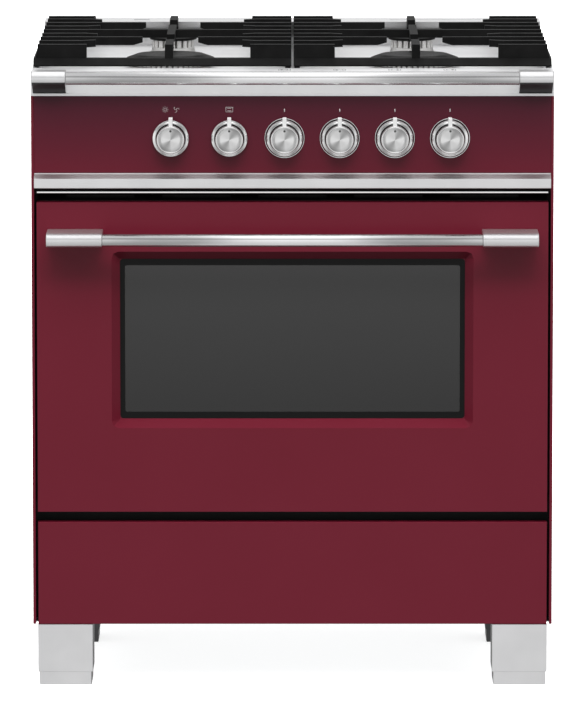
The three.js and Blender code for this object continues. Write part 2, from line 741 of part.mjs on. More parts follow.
// Round nose in line with the rail, flat top, and an underside that slopes back to the apron.
function railBracket(side) {
  const seat = apronInset - gap;
  const shape = new THREE.Shape();
  shape.moveTo(seat, railZ + bracketRadius);
  shape.lineTo(-railStandoff, railZ + bracketRadius);
  shape.absarc(-railStandoff, railZ, bracketRadius, Math.PI / 2, 1.4 * Math.PI);
  shape.lineTo(seat, consoleTop + bracketToeRise);
  const outer = half - railEndGap;
  return prism("x", shape, sideSpan(side, outer - railBracketLength, outer), { curveSegments: 10 });
}

// ---------------------------------------------------------------- burners and trivets
// The head stands on the pan, and its neck drops through the pan to the mixing cup.
function burnerHead({ x, y, neck, headInset, headHeight, cap }) {
  const r = cap.radius - headInset;
  const neckFoot = consoleTop + 2;
  const z = [panFloor + gap, panFloor + gap + headHeight];
  const profile = [
    [0, neckFoot],
    [neck, neckFoot],
    [neck, z[0]],
    [r, z[0]],
    [r, z[1]],
    [0, z[1]],
  ];
  return turned(profile, [x, y]);
}

function burnerCap({ x, y, headHeight, cap: { radius, height, shoulder } }) {
  const bottom = panFloor + 2 * gap + headHeight;
  const top = bottom + height;
  const profile = [
    [0, bottom],
    [radius - 2, bottom],
    [radius, bottom + 1.5],
    [radius, top - shoulder],
    [radius - 2 * shoulder, top - 0.6],
    [radius - 2.6 * shoulder, top],
    [0, top],
  ];
  return turned(profile, [x, y]);
}

const trivetBase = stripTop + trivetFoot;
const railTop = trivetBase + trivetRailHeight;
const barBottom = trivetTop - barHeight;
const flare = trivetEdge - trivetFlareTop; // how far the side's foot stands out under its top
const innerEdge = trivetGap / 2;
const lastRow = rowCount - 1;
const middleRow = lastRow / 2;

// A bar across the trivet from its side rail to a tip, cut away under the tip.
// `out` is the x of the bar's outer end, and `foot` is how far its foot stands out.
function crossBar(out, tip, y, foot) {
  const towards = Math.sign(tip - out);
  const root = out + rootWidth * towards;
  const points = [
    [out - foot * towards, trivetBase],
    [out - foot * towards, trivetBase + 2],
    [out, trivetTop - 8],
    [out, trivetTop],
    [tip, trivetTop],
    [tip, trivetTop - tipHeight],
    [tip - tipChamfer * towards, barBottom],
    [root, barBottom],
    [root, trivetBase],
  ];
  return prism("y", outline(towards > 0 ? points : points.reverse()), [y, y + barThickness]);
}

// The last stretch of a short finger turns towards the burner.
function turnedTip(x, y, towardsX, towardsY) {
  const rise = turnedRise * towardsY;
  const start = x - 2 * towardsX;
  const end = x + turnedLength * towardsX;
  const points = [
    [start, y],
    [start, y + barThickness],
    [end, y + barThickness + rise],
    [end, y + rise],
  ];
  return prism("z", outline(towardsX > 0 ? points.reverse() : points), [barBottom + 2, trivetTop]);
}

// A bar along the trivet, over the burner's axis, from its root to its tip. One that starts
// at the trivet's end has a root as deep as the rail there.
function longBar(x, root, tip, deepRoot) {
  const towards = Math.sign(tip - root);
  const rootEnd = root + rootWidth * towards;
  const bottom = deepRoot ? trivetBase : barBottom - 0.01;
  const points = [
    [root, bottom],
    [root, trivetTop],
    [tip, trivetTop],
    [tip, trivetTop - tipHeight],
    [tip - tipChamfer * towards, barBottom],
    [rootEnd, barBottom],
    [rootEnd, bottom],
  ];
  const span = wider([x, x], barThickness / 2);
  return prism("x", outline(towards > 0 ? points.reverse() : points), span);
}

// Front face of each row of bars, the last one flush with the trivet's rear face.
const rearFace = trivetBackY - gap;
const rowY = (row) => (row === lastRow ? rearFace - barThickness : trivetFrontY + row * rowPitch);

// The two bars of a row, from the outer side and from the inner side, with what joins them.
function trivetRow(row) {
  const y = rowY(row);
  const thick = [y, y + barThickness];
  const bar = (out, tip) => crossBar(out, tip, y, out === trivetOuter ? flare : 0);
  if (row === middleRow) {
    const hub = slab(wider([burnerX, burnerX], hubReach), thick, [barBottom, trivetTop]);
    return [bar(trivetOuter, burnerX), bar(innerEdge, burnerX + beyond), hub];
  }
  if (row === burnerRows || row === lastRow - burnerRows) {
    return [bar(trivetOuter, burnerX + fingerReach), bar(innerEdge, burnerX - fingerReach)];
  }
  if (row === 0 || row === lastRow) {
    const tips = [trivetOuter - endBarOuter, innerEdge + endBarInner];
    const walls = [
      [tips[0], trivetOuter],
      [innerEdge, tips[1]],
    ].map((x) => slab(x, thick, [trivetBase, trivetTop - 1]));
    return [bar(trivetOuter, tips[0]), bar(innerEdge, tips[1]), ...walls];
  }
  const outerTip = trivetOuter - shortFinger + turnedLength;
  const innerTip = innerEdge + innerFinger;
  const towardsY = Math.sign((row < middleRow ? burnerRows : lastRow - burnerRows) - row);
  return [
    bar(trivetOuter, outerTip),
    bar(innerEdge, innerTip),
    turnedTip(outerTip, y, -1, towardsY),
    turnedTip(innerTip, y, 1, towardsY),
  ];
}

// One cast grate over two burners, modelled on the right and mirrored for the left.
function trivet(side) {
  const rows = Array.from({ length: rowCount }, (_, row) => trivetRow(row)).flat();
  const middleY = rowY(middleRow) + barThickness / 2;
  const fingers = [
    longBar(burnerX, trivetFrontY, burnerFrontY - fingerReach, true),
    longBar(burnerX, middleY, burnerFrontY + fingerReach, false),
    longBar(burnerX, middleY, burnerRearY - fingerReach, false),
    longBar(burnerX, rearFace, burnerRearY + fingerReach, true),
  ];
  const frontProfile = outline([
    [trivetFrontY - frontFlare, trivetBase],
    [trivetFrontY + barThickness, trivetBase],
    [trivetFrontY + barThickness, railTop],
    [trivetFrontY - 1, railTop],
    [trivetFrontY - frontFlare, trivetBase + 2],
  ]);
  const foot = trivetOuter + flare;
  const along = [trivetFrontY, rearFace];
  const upright = [trivetBase, railTop];
  const rails = [
    prism("x", frontProfile, [innerEdge, foot]),
    slab([innerEdge, foot - 2], [rearFace - barThickness, rearFace], upright),
    slab([foot - rootWidth, foot], along, upright),
    slab([innerEdge, innerEdge + innerRailWidth], along, upright),
  ];
  const outerPad = [half - rimWidth - 2, foot - 1];
  const innerPad = wider([innerEdge, innerEdge + innerRailWidth], -1);
  const pads = wider(along, -padInset).flatMap((y) => [
    slab(outerPad, wider([y, y], padLength / 2), [stripTop + gap, trivetBase + 1]),
    slab(innerPad, wider([y, y], padLength / 2), [panFloor + gap, trivetBase + 1]),
  ]);
  const whole = join(...rows, ...fingers, ...rails, ...pads);
  return side > 0 ? whole : whole.mirror([1, 0, 0]);
}

// ---------------------------------------------------------------- door
const doorX = [-doorHalf, doorHalf];
const windowX = [-windowWidth / 2, windowWidth / 2];
const windowZ = [windowBottom, windowTop];

// The tapering hole of the window's bevel, which is full size as far as y. It grows by margin
// on every side.
function windowFunnel(margin, y) {
  const edge = roundedRectangle(wider(windowX, margin), wider(windowZ, margin), 0.01);
  return prism("y", edge, [y - windowRecess, y], {
    bevelEnabled: true,
    bevelSize: windowBevel,
    bevelThickness: windowRecess,
    bevelSegments: 1,
    curveSegments: 1,
  });
}

// A folded pan. Round the window its sheet runs back in a bevel and ends in a flange, which
// the glass is fixed to.
function doorSkin() {
  const z = [doorBottom, doorTop];
  const pan = slab(doorX, [0, skinDepth], z);
  const inside = slab(wider(doorX, -sheet), [sheet, skinDepth + beyond], wider(z, -sheet));
  const inFront = slab(doorX, [-3 * windowRecess, sheet / 2], z);
  const bevel = cut(windowFunnel(sheet / 2, sheet), inFront);
  const flangeY = [windowRecess, windowRecess + sheet];
  const flange = slab(wider(windowX, glassMargin), flangeY, wider(windowZ, glassMargin));
  const hole = roundedRectangle(windowX, windowZ, windowCorner);
  const through = prism("y", hole, wider([0, flangeY[1]]));
  return cut(join(cut(pan, inside), bevel, flange), windowFunnel(0, 0), through);
}

function doorGlass() {
  const pane = roundedRectangle(
    wider(windowX, glassMargin),
    wider(windowZ, glassMargin),
    windowCorner,
  );
  const front = windowRecess + sheet + gap;
  return prism("y", pane, [front, front + glass]);
}

// The inner panel is a pan facing the skin. Its top edge slopes up to the oven side with a
// row of air slots, and its bottom edge is notched for the hinge arms.
function doorInnerPanel() {
  const x = wider(doorX, -innerPanelInset);
  const bottom = doorBottom + innerPanelInset;
  const crown = doorTop + doorCrown;
  const slopeStart = doorTop + crownStart;
  const front = innerPanelFront;
  const back = doorThickness;
  const shell = outline([
    [front, bottom],
    [back, bottom],
    [back, crown],
    [back - crownWidth, crown],
    [front, slopeStart],
  ]);
  const hollow = outline([
    [front - beyond, bottom + sheet],
    [back - sheet, bottom + sheet],
    [back - sheet, crown - sheet],
    [back - crownWidth + sheet / 2, crown - sheet],
    [front - beyond, slopeStart - sheet - beyond],
  ]);
  const opening = slab(
    wider(windowX, -innerWindowInset),
    [front, back + beyond],
    wider(windowZ, -innerWindowInset),
  );
  const slots = centred(airSlotCount).map((n) =>
    slab(
      wider([n * airSlotPitch, n * airSlotPitch], airSlotLength / 2),
      [front + airSlotWidth, front + 2 * airSlotWidth],
      [doorTop - 4, crown + 2],
    ),
  );
  const notchZ = [bottom - beyond, hingeZ + notchRise];
  const notches = both((side) => slab(armSpan(side, notchPlay), wider([front, back]), notchZ));
  const pan = cut(prism("x", shell, x), prism("x", hollow, wider(x, -sheet)));
  return cut(pan, opening, ...slots, ...notches);
}

function doorInnerGlass() {
  const back = doorThickness - sheet - gap;
  return slab(
    wider(windowX, -innerGlassInset),
    [back - glass, back],
    wider(windowZ, -innerGlassInset),
  );
}

// A flat rope seal on the front frame, round the oven opening.
function doorGasket() {
  const y = [doorThickness + sealPlay, frameFront - gap];
  const mouthZ = [cavityFloor, cavityTop];
  const outer = roundedRectangle(
    wider(cavityX, sealOuter),
    wider(mouthZ, sealOuterEnd),
    sealOuterCorner,
  );
  const inner = roundedRectangle(
    wider(cavityX, sealInner),
    wider(mouthZ, sealInnerEnd),
    sealInnerCorner,
  );
  return cut(prism("y", outer, y), prism("y", inner, wider(y)));
}

// The pivot rod lies inside the door's bottom edge, and its two arms hook behind the frame.
function doorHinge() {
  const reach = doorX[1] - sheet - gap;
  const pivot = rod("x", hingeRodRadius, [-reach, reach], [hingeSetback, hingeZ]);
  const armEnd = frameFront + hingeArmReach;
  const arms = both((side) => {
    const x = armSpan(side, 0);
    const arm = slab(x, [hingeSetback, armEnd], wider([hingeZ, hingeZ], hingeArmThickness / 2));
    const hook = slab(x, [armEnd - hingeHookLength, armEnd], [hingeZ - hingeHookDepth, hingeZ]);
    return join(arm, hook);
  });
  return join(pivot, ...arms);
}

function handleBar() {
  const end = handleOuter - handleBracketLength - gap;
  return rod("x", handleRadius, [-end, end], [-handleStandoff, handleZ], handleSections);
}

function handleBracket(side) {
  const shape = new THREE.Shape();
  shape.moveTo(-gap, handleZ + bracketRadius);
  shape.lineTo(-handleStandoff, handleZ + bracketRadius);
  shape.absarc(-handleStandoff, handleZ, bracketRadius, Math.PI / 2, 1.5 * Math.PI);
  shape.lineTo(-gap, handleZ - bracketRadius);
  const x = sideSpan(side, handleOuter - handleBracketLength, handleOuter);
  return prism("x", shape, x, { curveSegments: 12 });
}

// ---------------------------------------------------------------- drawer
function drawerFront() {
  const z = [legHeight, drawerTop];
  const pan = slab(doorX, [0, drawerFrontDepth], z);
  const inside = slab(wider(doorX, -sheet), [sheet, drawerFrontDepth + beyond], wider(z, -sheet));
  return cut(pan, inside);
}

// An open tray fixed to the back of the drawer front, sliding on the two runners of the base.
function drawerBox() {
  const x = [-drawerBoxHalf, drawerBoxHalf];
  const y = [sheet + gap, cabinetDepth - drawerRearSpace];
  const z = [legHeight + runnerHeight + gap, drawerBoxTop];
  const inside = [z[0] + sheet, z[1] + beyond];
  const hollow = slab(wider(x, -drawerWall), wider(y, -drawerWall), inside);
  return cut(slab(x, y, z), hollow);
}

// ---------------------------------------------------------------- legs
const legSpan = (side) => sideSpan(side, half - legInset - legWidth, half - legInset);
const middleOf = (span) => (span[0] + span[1]) / 2;

// A square sleeve under the base with a cross plate, tapped for the foot's screw.
function legCover(side, y0) {
  const x = legSpan(side);
  const y = [y0, y0 + legDepth];
  const z = [footHeight, legHeight - 2 * gap];
  const plate = [nutPlate, nutPlate + nutPlateThickness];
  const inside = (zs) => slab(wider(x, -sheet), wider(y, -sheet), zs);
  return cut(
    slab(x, y, z),
    inside([z[0] - beyond, plate[0]]),
    inside([plate[1], z[1] + beyond]),
    rod("z", footScrewRadius + gap, wider(plate), [middleOf(x), middleOf(y)]),
  );
}

// The foot slides in the sleeve on its screw.
function levellingFoot(side, y0) {
  const x = wider(legSpan(side), -sheet - footPlay);
  const y = wider([y0, y0 + legDepth], -sheet - footPlay);
  const block = slab(x, y, [0, footHeight + footLap]);
  const screwZ = [footHeight, nutPlate + footScrewEnd];
  return join(block, rod("z", footScrewRadius, screwZ, [middleOf(x), middleOf(y)]));
}

// ---------------------------------------------------------------- assembly
for (const side of [-1, 1]) {
  piece("side_panel_" + sideName(side), sidePanel(side), redEnamel);
  piece("rail_bracket_" + sideName(side), railBracket(side), polished);
  piece("handle_bracket_" + sideName(side), handleBracket(side), polished);
  piece("trivet_" + sideName(side), trivet(side), castIron);
  for (const [place, y] of [
    ["front", legFront],
    ["rear", legFront + legSpacing],
  ]) {
    piece(`leg_${place}_${sideName(side)}`, legCover(side, y), steel);
    piece(`foot_${place}_${sideName(side)}`, levellingFoot(side, y), steel);
  }
}
piece("base_pan", basePan(), galvanised);
piece("back_panel", backPanel(), galvanised);
piece("front_frame", frontFrame(), blackEnamel);

piece("oven_liner", ovenLiner(), liner);
piece("fan_cover", fanCover(), liner);
piece("convection_fan", convectionFan(), galvanised);
piece("bake_burner", bakeBurner(), galvanised);
piece("broil_burner", broilBurner(), galvanised);
piece("oven_rack_lower", ovenRack(lowerRackLevel), polished);
piece("oven_rack_upper", ovenRack(upperRackLevel), polished);

piece("gas_manifold", gasManifold(), galvanised);
piece("console_panel", consolePanel(), redEnamel);
piece("console_trim", consoleTrim(), steel);
piece("knob_selector", knob(selectorKnobX, false), steel);
piece("knob_oven", knob(firstKnobX, true), steel);
piece("valve_stem_oven", valveStem(firstKnobX), galvanised);
burnerKnobs.forEach((x, n) => {
  piece(`knob_burner_${n + 1}`, knob(x, true), steel);
  piece(`valve_stem_burner_${n + 1}`, valveStem(x), galvanised);
});

piece("cooktop_tray", cooktopTray(), steel);
piece("rear_trim", rearTrim(), steel);
piece("front_rail", frontRail(), steel);
for (const spot of burnerSpots) {
  piece("burner_head_" + spot.name, burnerHead(spot), aluminium);
  piece("burner_cap_" + spot.name, burnerCap(spot), blackEnamel);
}

piece("door_skin", doorSkin(), redEnamel);
piece("door_glass", doorGlass(), darkGlass);
piece("door_inner_panel", doorInnerPanel(), blackEnamel);
piece("door_inner_glass", doorInnerGlass(), darkGlass);
piece("door_gasket", doorGasket(), seal);
piece("door_hinge", doorHinge(), blackEnamel);
piece("handle_bar", handleBar(), steel);
piece("drawer_front", drawerFront(), redEnamel);
piece("drawer_box", drawerBox(), galvanised);

// The footprint runs from the front of the handle brackets to the back of the cooktop.
const reach = handleStandoff + bracketRadius;
range.position.y = reach - (depth + reach) / 2;

const model = new THREE.Group();
model.add(range);
export default model;
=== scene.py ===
# %% [markdown]
# # A freestanding gas range
#
# A range is sheet steel, folded and enamelled, round a cast and pressed cooktop. Nearly
# every part of it is a plain shape whose character sits in its edges: folds have a small
# round, castings have a large one. So most pieces here start from the measured frame and
# gain their edges, and what the frame leaves out is built beside them: the knobs' spun
# faces, the burners' teeth, the printed marks, the wires, the screws.

# %% Load the frame
import math
import bmesh
import bpy
from mathutils import Matrix, Vector


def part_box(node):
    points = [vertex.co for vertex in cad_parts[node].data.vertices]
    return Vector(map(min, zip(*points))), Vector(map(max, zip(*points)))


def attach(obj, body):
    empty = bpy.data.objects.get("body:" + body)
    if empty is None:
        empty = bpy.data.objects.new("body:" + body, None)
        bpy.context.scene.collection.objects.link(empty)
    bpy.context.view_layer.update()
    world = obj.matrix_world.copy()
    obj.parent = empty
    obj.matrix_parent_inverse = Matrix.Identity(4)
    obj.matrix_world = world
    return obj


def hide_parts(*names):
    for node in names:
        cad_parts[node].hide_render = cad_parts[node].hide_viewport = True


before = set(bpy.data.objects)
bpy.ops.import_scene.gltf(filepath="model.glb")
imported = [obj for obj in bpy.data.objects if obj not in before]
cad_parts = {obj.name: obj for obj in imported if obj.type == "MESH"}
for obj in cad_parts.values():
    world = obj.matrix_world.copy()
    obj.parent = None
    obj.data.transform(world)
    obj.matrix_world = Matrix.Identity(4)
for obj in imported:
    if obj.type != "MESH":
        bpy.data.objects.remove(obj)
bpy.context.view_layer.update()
MM = 0.001
SIDES = {"left": -1, "right": 1}
PLACES = ("front", "rear")

# %% [markdown]
# The frame says where everything is. Three places are used again and again: the front
# plane, which is the face of the door, the height of the cooktop's strip, and the middle
# of the knobs.

# %% Read the main places
door_low, door_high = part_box("door_skin")
tray_low, tray_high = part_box("cooktop_tray")
panel_low, panel_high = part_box("console_panel")
front_y = door_low.y
strip_z = tray_high.z
half_width = tray_high.x
knob_names = ["knob_selector", "knob_oven"] + [f"knob_burner_{n}" for n in range(1, 5)]
stem_low, stem_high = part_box("valve_stem_oven")
knob_z = (stem_low.z + stem_high.z) / 2
print("front plane", round(front_y, 4), "cooktop", round(strip_z, 4), "knobs", round(knob_z, 4))

# %% [markdown]
# ## Camera, floor and light
#
# The range is seen from straight in front by a long lens, a little above it. The light is
# a studio's: one soft box overhead, and a pale room that the steel can mirror.

# %% Set the camera
CAMERA_DISTANCE = 10.2
CAMERA_HEIGHT = 1.846
AIM_HEIGHT = 0.4936
LENS = 362.3
camera_data = bpy.data.cameras.new("camera")
camera_data.lens = LENS
camera_data.sensor_width = 36
camera_data.clip_end = 200
camera = bpy.data.objects.new("camera", camera_data)
camera.location = (0, front_y - CAMERA_DISTANCE, CAMERA_HEIGHT)
gaze = Vector((0, front_y, AIM_HEIGHT)) - camera.location
camera.rotation_euler = gaze.to_track_quat("-Z", "Y").to_euler()
bpy.context.scene.collection.objects.link(camera)
bpy.context.scene.camera = camera
bpy.context.scene.view_settings.view_transform = "Standard"
print("camera tilt", round(math.degrees(camera.rotation_euler.x) - 90, 2))


# %% [markdown]
# Colours are written as they look on a screen. One function turns them to the linear
# values that a shader needs.

# %% Turn a hex colour to linear
def srgb(code):
    channels = [int(code[i : i + 2], 16) / 255 for i in (1, 3, 5)]
    linear = [c / 12.92 if c <= 0.04045 else ((c + 0.055) / 1.055) ** 2.4 for c in channels]
    return (*linear, 1.0)


# %% Add one node with its settings and links
def add(tree, kind, inputs=None, links=None, **settings):
    node = tree.nodes.new(kind)
    for name, value in settings.items():
        setattr(node, name, value)
    for name, value in (inputs or {}).items():
        node.inputs[name].default_value = value
    for name, socket in (links or {}).items():
        tree.links.new(socket, node.inputs[name])
    return node


# %% Start a material
def start_material(name, colour, roughness, metallic=0.0, **more):
    material = bpy.data.materials.new(name)
    material.use_nodes = True
    tree = material.node_tree
    tree.nodes.clear()
    shader = add(tree, "ShaderNodeBsdfPrincipled")
    values = {"Base Color": srgb(colour), "Roughness": roughness, "Metallic": metallic}
    values.update({label.replace("_", " "): value for label, value in more.items()})
    for label, value in values.items():
        shader.inputs[label].default_value = value
    add(tree, "ShaderNodeOutputMaterial", links={"Surface": shader.outputs["BSDF"]})
    print("finish", name)
    return material, tree, shader


# %% [markdown]
# Every pattern is placed by Object coordinates, in metres, so its size is a real size. A
# Mapping node stretches it where the real surface has a direction. `grain` gives a noise
# whose lumps are as long as the three sizes it is given, in millimetres.

# %% Give a noise its real size
def grain(tree, size_mm, detail=3.0, roughness=0.55):
    place = add(tree, "ShaderNodeTexCoord").outputs["Object"]
    scale = tuple(1 / (s * MM) for s in size_mm)
    stretch = add(tree, "ShaderNodeMapping", {"Scale": scale}, {"Vector": place})
    sizes = {"Scale": 1.0, "Detail": detail, "Roughness": roughness}
    return add(tree, "ShaderNodeTexNoise", sizes, {"Vector": stretch.outputs["Vector"]}).outputs["Fac"]


# %% [markdown]
# A noise is a factor between 0 and 1. `tint` fades the colour by it, and `work` lets it
# change the gloss and raise the surface. A noise seldom leaves the middle of its range, so
# the part from 0.3 to 0.7 is spread over the whole.

# %% Fade the colour by a factor
NOISE_SPAN = (0.3, 0.7)


def tint(tree, shader, factor, first, second, span=NOISE_SPAN):
    ends = {"From Min": span[0], "From Max": span[1]}
    share = add(tree, "ShaderNodeMapRange", ends, {"Value": factor}).outputs["Result"]
    colours = {6: srgb(first), 7: srgb(second)}
    mix = add(tree, "ShaderNodeMix", colours, {0: share}, data_type="RGBA")
    tree.links.new(mix.outputs[2], shader.inputs["Base Color"])


# %% Change the gloss and raise the surface by a factor
def work(tree, shader, factor, rough=None, relief=None, span=NOISE_SPAN):
    if rough:
        ends = {"From Min": span[0], "From Max": span[1], "To Min": rough[0], "To Max": rough[1]}
        gloss = add(tree, "ShaderNodeMapRange", ends, {"Value": factor})
        tree.links.new(gloss.outputs["Result"], shader.inputs["Roughness"])
    if relief:
        depth_mm, strength = relief
        sizes = {"Strength": strength, "Distance": depth_mm * MM}
        bump = add(tree, "ShaderNodeBump", sizes, {"Height": factor})
        tree.links.new(bump.outputs["Normal"], shader.inputs["Normal"])


# %% [markdown]
# ## Finishes
#
# The panels are **vitreous enamel** over steel: glass fused on, dyed deep red, glossy but
# with the faint waviness that the trade calls orange peel. Its lumps are about 4 mm apart
# and a few microns high, so the bump is very slight. The colour goes all the way through the
# glass, so a weak plain gloss is enough and no clear coat is added.

# %% Red enamel
def fuse_red_glass(name, colour):
    material, tree, shader = start_material(name, colour, 0.32, Specular_IOR_Level=0.25)
    work(tree, shader, grain(tree, (4, 4, 4), 2.0), (0.31, 0.37), (0.02, 0.5))
    return material, tree, shader


red_enamel, tree, shader = fuse_red_glass("vitreous_enamel_red", "#70172B")
tint(tree, shader, grain(tree, (140, 140, 140), 2.0), "#6F162A", "#71182C")


# %% [markdown]
# The console hangs in the shade of the cooktop's rail, and that shade is painted into its
# enamel: the base is darker than the door's, and darker still towards the top. The painted
# shade is even and follows the height above the trim.

# %% Console enamel with painted shade
def height(tree):
    place = add(tree, "ShaderNodeTexCoord").outputs["Object"]
    return add(tree, "ShaderNodeSeparateXYZ", None, {"Vector": place}).outputs["Z"]


console_enamel_painted_shade, tree, shader = fuse_red_glass("vitreous_enamel_red_console_painted_shade", "#5E1224")
# Painted shade: a lighter red at the bottom of the panel, a darker one at its top.
tint(tree, shader, height(tree), "#671428", "#491024", (panel_low.z, panel_high.z))


# %% [markdown]
# **Brushed stainless steel** is dragged through an abrasive belt. The scratches are long in
# one direction and a few tenths of a millimetre apart in the other, so a highlight smears
# across them. They are drawn 0.5 mm apart, a little coarser than real, so that they show.

# %% Brushed steel, along an axis
def make_brushed_steel(name, along, roughness=0.3, metallic=1.0, tones=("#DCDCDD", "#E4E4E5")):
    material, tree, shader = start_material(name, tones[0], roughness, metallic)
    sizes = [0.5, 0.5, 0.5]
    sizes["xyz".index(along)] = 90
    brush = grain(tree, sizes, 4.0, 0.65)
    work(tree, shader, brush, (roughness - 0.04, roughness + 0.05), (0.008, 0.3))
    tint(tree, shader, grain(tree, (60, 60, 60), 2.0), *tones)
    return material


steel_across = make_brushed_steel("brushed_stainless_across", "x")
steel_upright = make_brushed_steel("brushed_stainless_upright", "z", roughness=0.34)
steel_satin = make_brushed_steel("satin_stainless_cooktop", "x", 0.46, 0.78, ("#F0F0F1", "#F6F6F7"))
bar_tones = ("#ECECED", "#F2F2F3")
steel_bar = make_brushed_steel("fine_brushed_stainless_bar", "x", roughness=0.17, tones=bar_tones)
steel_soft = make_brushed_steel("soft_polished_stainless", "x", roughness=0.3, metallic=0.86)
# Painted shade: a darker steel for faces that stand in shade.
steel_painted_shade = make_brushed_steel("brushed_steel_painted_shade", "z", roughness=0.45, tones=("#4E4E4F", "#585859"))


# %% [markdown]
# The brackets of the handle and the rail, and the knobs' rims, are **polished** after they
# are cast: a mirror with only a trace of haze.

# %% Polished steel
polished_steel, tree, shader = start_material("polished_stainless", "#F0F0F0", 0.13, 1.0)
work(tree, shader, grain(tree, (30, 30, 30), 3.0), (0.1, 0.17))


# %% [markdown]
# A knob's face is **spun**: turned under an abrasive, which leaves rings round the centre.
# Light from two sides then draws the bow-tie highlight of a cymbal. The rings are too fine
# to be drawn one by one, so the shader's anisotropy stands for them, and the piece's own UV
# map, whose u runs round the centre, says which way they lie. Two opposite wedges are also
# painted darker in the colour: a painted reflection, the dark sectors of the bow-tie.

# %% Spun steel
PAINTED_WEDGE_TURN = 55 / 360
spun_steel, tree, shader = start_material("spun_stainless", "#EEEEEE", 0.36, 1.0, Anisotropic=0.9)
lie = add(tree, "ShaderNodeTangent", direction_type="UV_MAP", uv_map="round_centre")
tree.links.new(lie.outputs["Tangent"], shader.inputs["Tangent"])
place = add(tree, "ShaderNodeUVMap", uv_map="round_centre").outputs["UV"]
round_centre = add(tree, "ShaderNodeSeparateXYZ", None, {"Vector": place}).outputs["X"]
# Painted reflection: the colour darkens on two opposite wedges, 55 degrees round from the side.
twice = {1: 4 * math.pi, 2: -4 * math.pi * PAINTED_WEDGE_TURN}
turn = add(tree, "ShaderNodeMath", twice, {0: round_centre}, operation="MULTIPLY_ADD").outputs[0]
painted_wedge_shade = add(tree, "ShaderNodeMath", None, {0: turn}, operation="COSINE").outputs[0]
tint(tree, shader, painted_wedge_shade, "#EFEFEF", "#B8B8B8", (0.1, 1.0))


# %% [markdown]
# The grates are **cast iron** under a thin matt enamel. The sand mould leaves a pebbled skin
# with lumps of about 1.2 mm, and handling wears the enamel a little greyer in patches.

# %% Cast iron
cast_iron, tree, shader = start_material(
    "cast_iron_matt_enamel", "#121212", 0.6, Specular_IOR_Level=0.08
)
work(tree, shader, grain(tree, (1.2, 1.2, 1.2), 3.0), (0.5, 0.72), (0.18, 0.6))
tint(tree, shader, grain(tree, (25, 25, 25), 3.0), "#111111", "#191919")


# %% [markdown]
# Burner caps and the frame behind the door are **black enamel**, smoother than the grates
# and half glossy.

# %% Black enamel
def make_black_enamel(name, colour, roughness, gloss=0.3):
    material, tree, shader = start_material(name, colour, roughness, Specular_IOR_Level=gloss)
    peel = grain(tree, (3, 3, 3), 2.0)
    work(tree, shader, peel, (roughness - 0.05, roughness + 0.06), (0.03, 0.4))
    return material


cap_enamel = make_black_enamel("black_enamel_caps", "#080808", 0.42, 0.1)
frame_enamel = make_black_enamel("black_enamel_frame", "#121011", 0.5)


# %% [markdown]
# The oven is lined with **speckled enamel**: a dark blue-grey ground with pale flecks about
# a millimetre across that were sprayed on before firing. A cell pattern whose middles are
# picked out gives the flecks.

# %% Speckled oven enamel
def cells(tree, size_mm):
    place = add(tree, "ShaderNodeTexCoord").outputs["Object"]
    return add(tree, "ShaderNodeTexVoronoi", {"Scale": 1 / (size_mm * MM)}, {"Vector": place})


oven_enamel, tree, shader = start_material("speckled_oven_enamel", "#2A3038", 0.32, Coat_Weight=0.3)
tint(tree, shader, cells(tree, 5).outputs["Distance"], "#A9AFB5", "#262B33", (0.1, 0.16))
work(tree, shader, grain(tree, (4, 4, 4), 2.0), relief=(0.03, 0.4))


# %% [markdown]
# Hidden sheet, such as the back and the base, is **galvanised**: zinc that froze into flat
# crystals, the spangle, about 8 mm across, each a slightly different grey and gloss.

# %% Galvanised steel
galvanised, tree, shader = start_material("galvanised_sheet", "#A4A7A9", 0.42, 0.9)
crystal = cells(tree, 8).outputs["Color"]
shade = add(tree, "ShaderNodeSeparateColor", None, {"Color": crystal})
tint(tree, shader, shade.outputs["Red"], "#A3A6A8", "#AEB1B3", (0, 1))
work(tree, shader, shade.outputs["Green"], (0.4, 0.5), span=(0, 1))


# %% [markdown]
# Burner heads are **die-cast aluminium alloy**, bead-blasted to an even, pale satin.

# %% Burner alloy
burner_alloy, tree, shader = start_material("cast_aluminium_satin", "#EDECEA", 0.38, 0.85)
work(tree, shader, grain(tree, (0.8, 0.8, 0.8), 2.0), (0.3, 0.46), (0.05, 0.5))


# %% [markdown]
# The racks are **bright nickel-chrome wire**, and the seal round the oven mouth is a braid of
# **glass fibre**, grey and quite matt, woven in ribs about 3 mm apart.

# %% Chrome wire
chrome_wire, tree, shader = start_material("nickel_chrome_wire", "#D2D0CC", 0.14, 1.0)
work(tree, shader, grain(tree, (15, 15, 15), 2.0), (0.1, 0.22))

# %% Glass-fibre braid
gasket_braid, tree, shader = start_material("glass_fibre_braid", "#4A4844", 0.9, Sheen_Weight=0.3)
weave = add(
    tree,
    "ShaderNodeTexWave",
    {"Scale": 1 / (3 * MM) / (2 * math.pi) * 2, "Distortion": 1.5},
    {"Vector": add(tree, "ShaderNodeTexCoord").outputs["Object"]},
    wave_type="BANDS",
    bands_direction="DIAGONAL",
).outputs["Fac"]
tint(tree, shader, weave, "#3A3835", "#5A5751", (0, 1))
work(tree, shader, weave, relief=(0.5, 0.8))


# %% [markdown]
# The window is **tinted float glass**. Black ceramic paint, the frit, is fired on round its
# border to hide the glue, and the clear part looks dark grey because the oven behind it is
# dark. The pane here is a dark, very smooth surface that lets a little of the oven through,
# with a painted reflection that makes it lighter towards the top.

# %% Window glass and frit
window_glass_painted_reflection, tree, shader = start_material("tinted_float_glass_painted_reflection", "#1F1F1F", 0.12, IOR=1.52, Alpha=0.93)
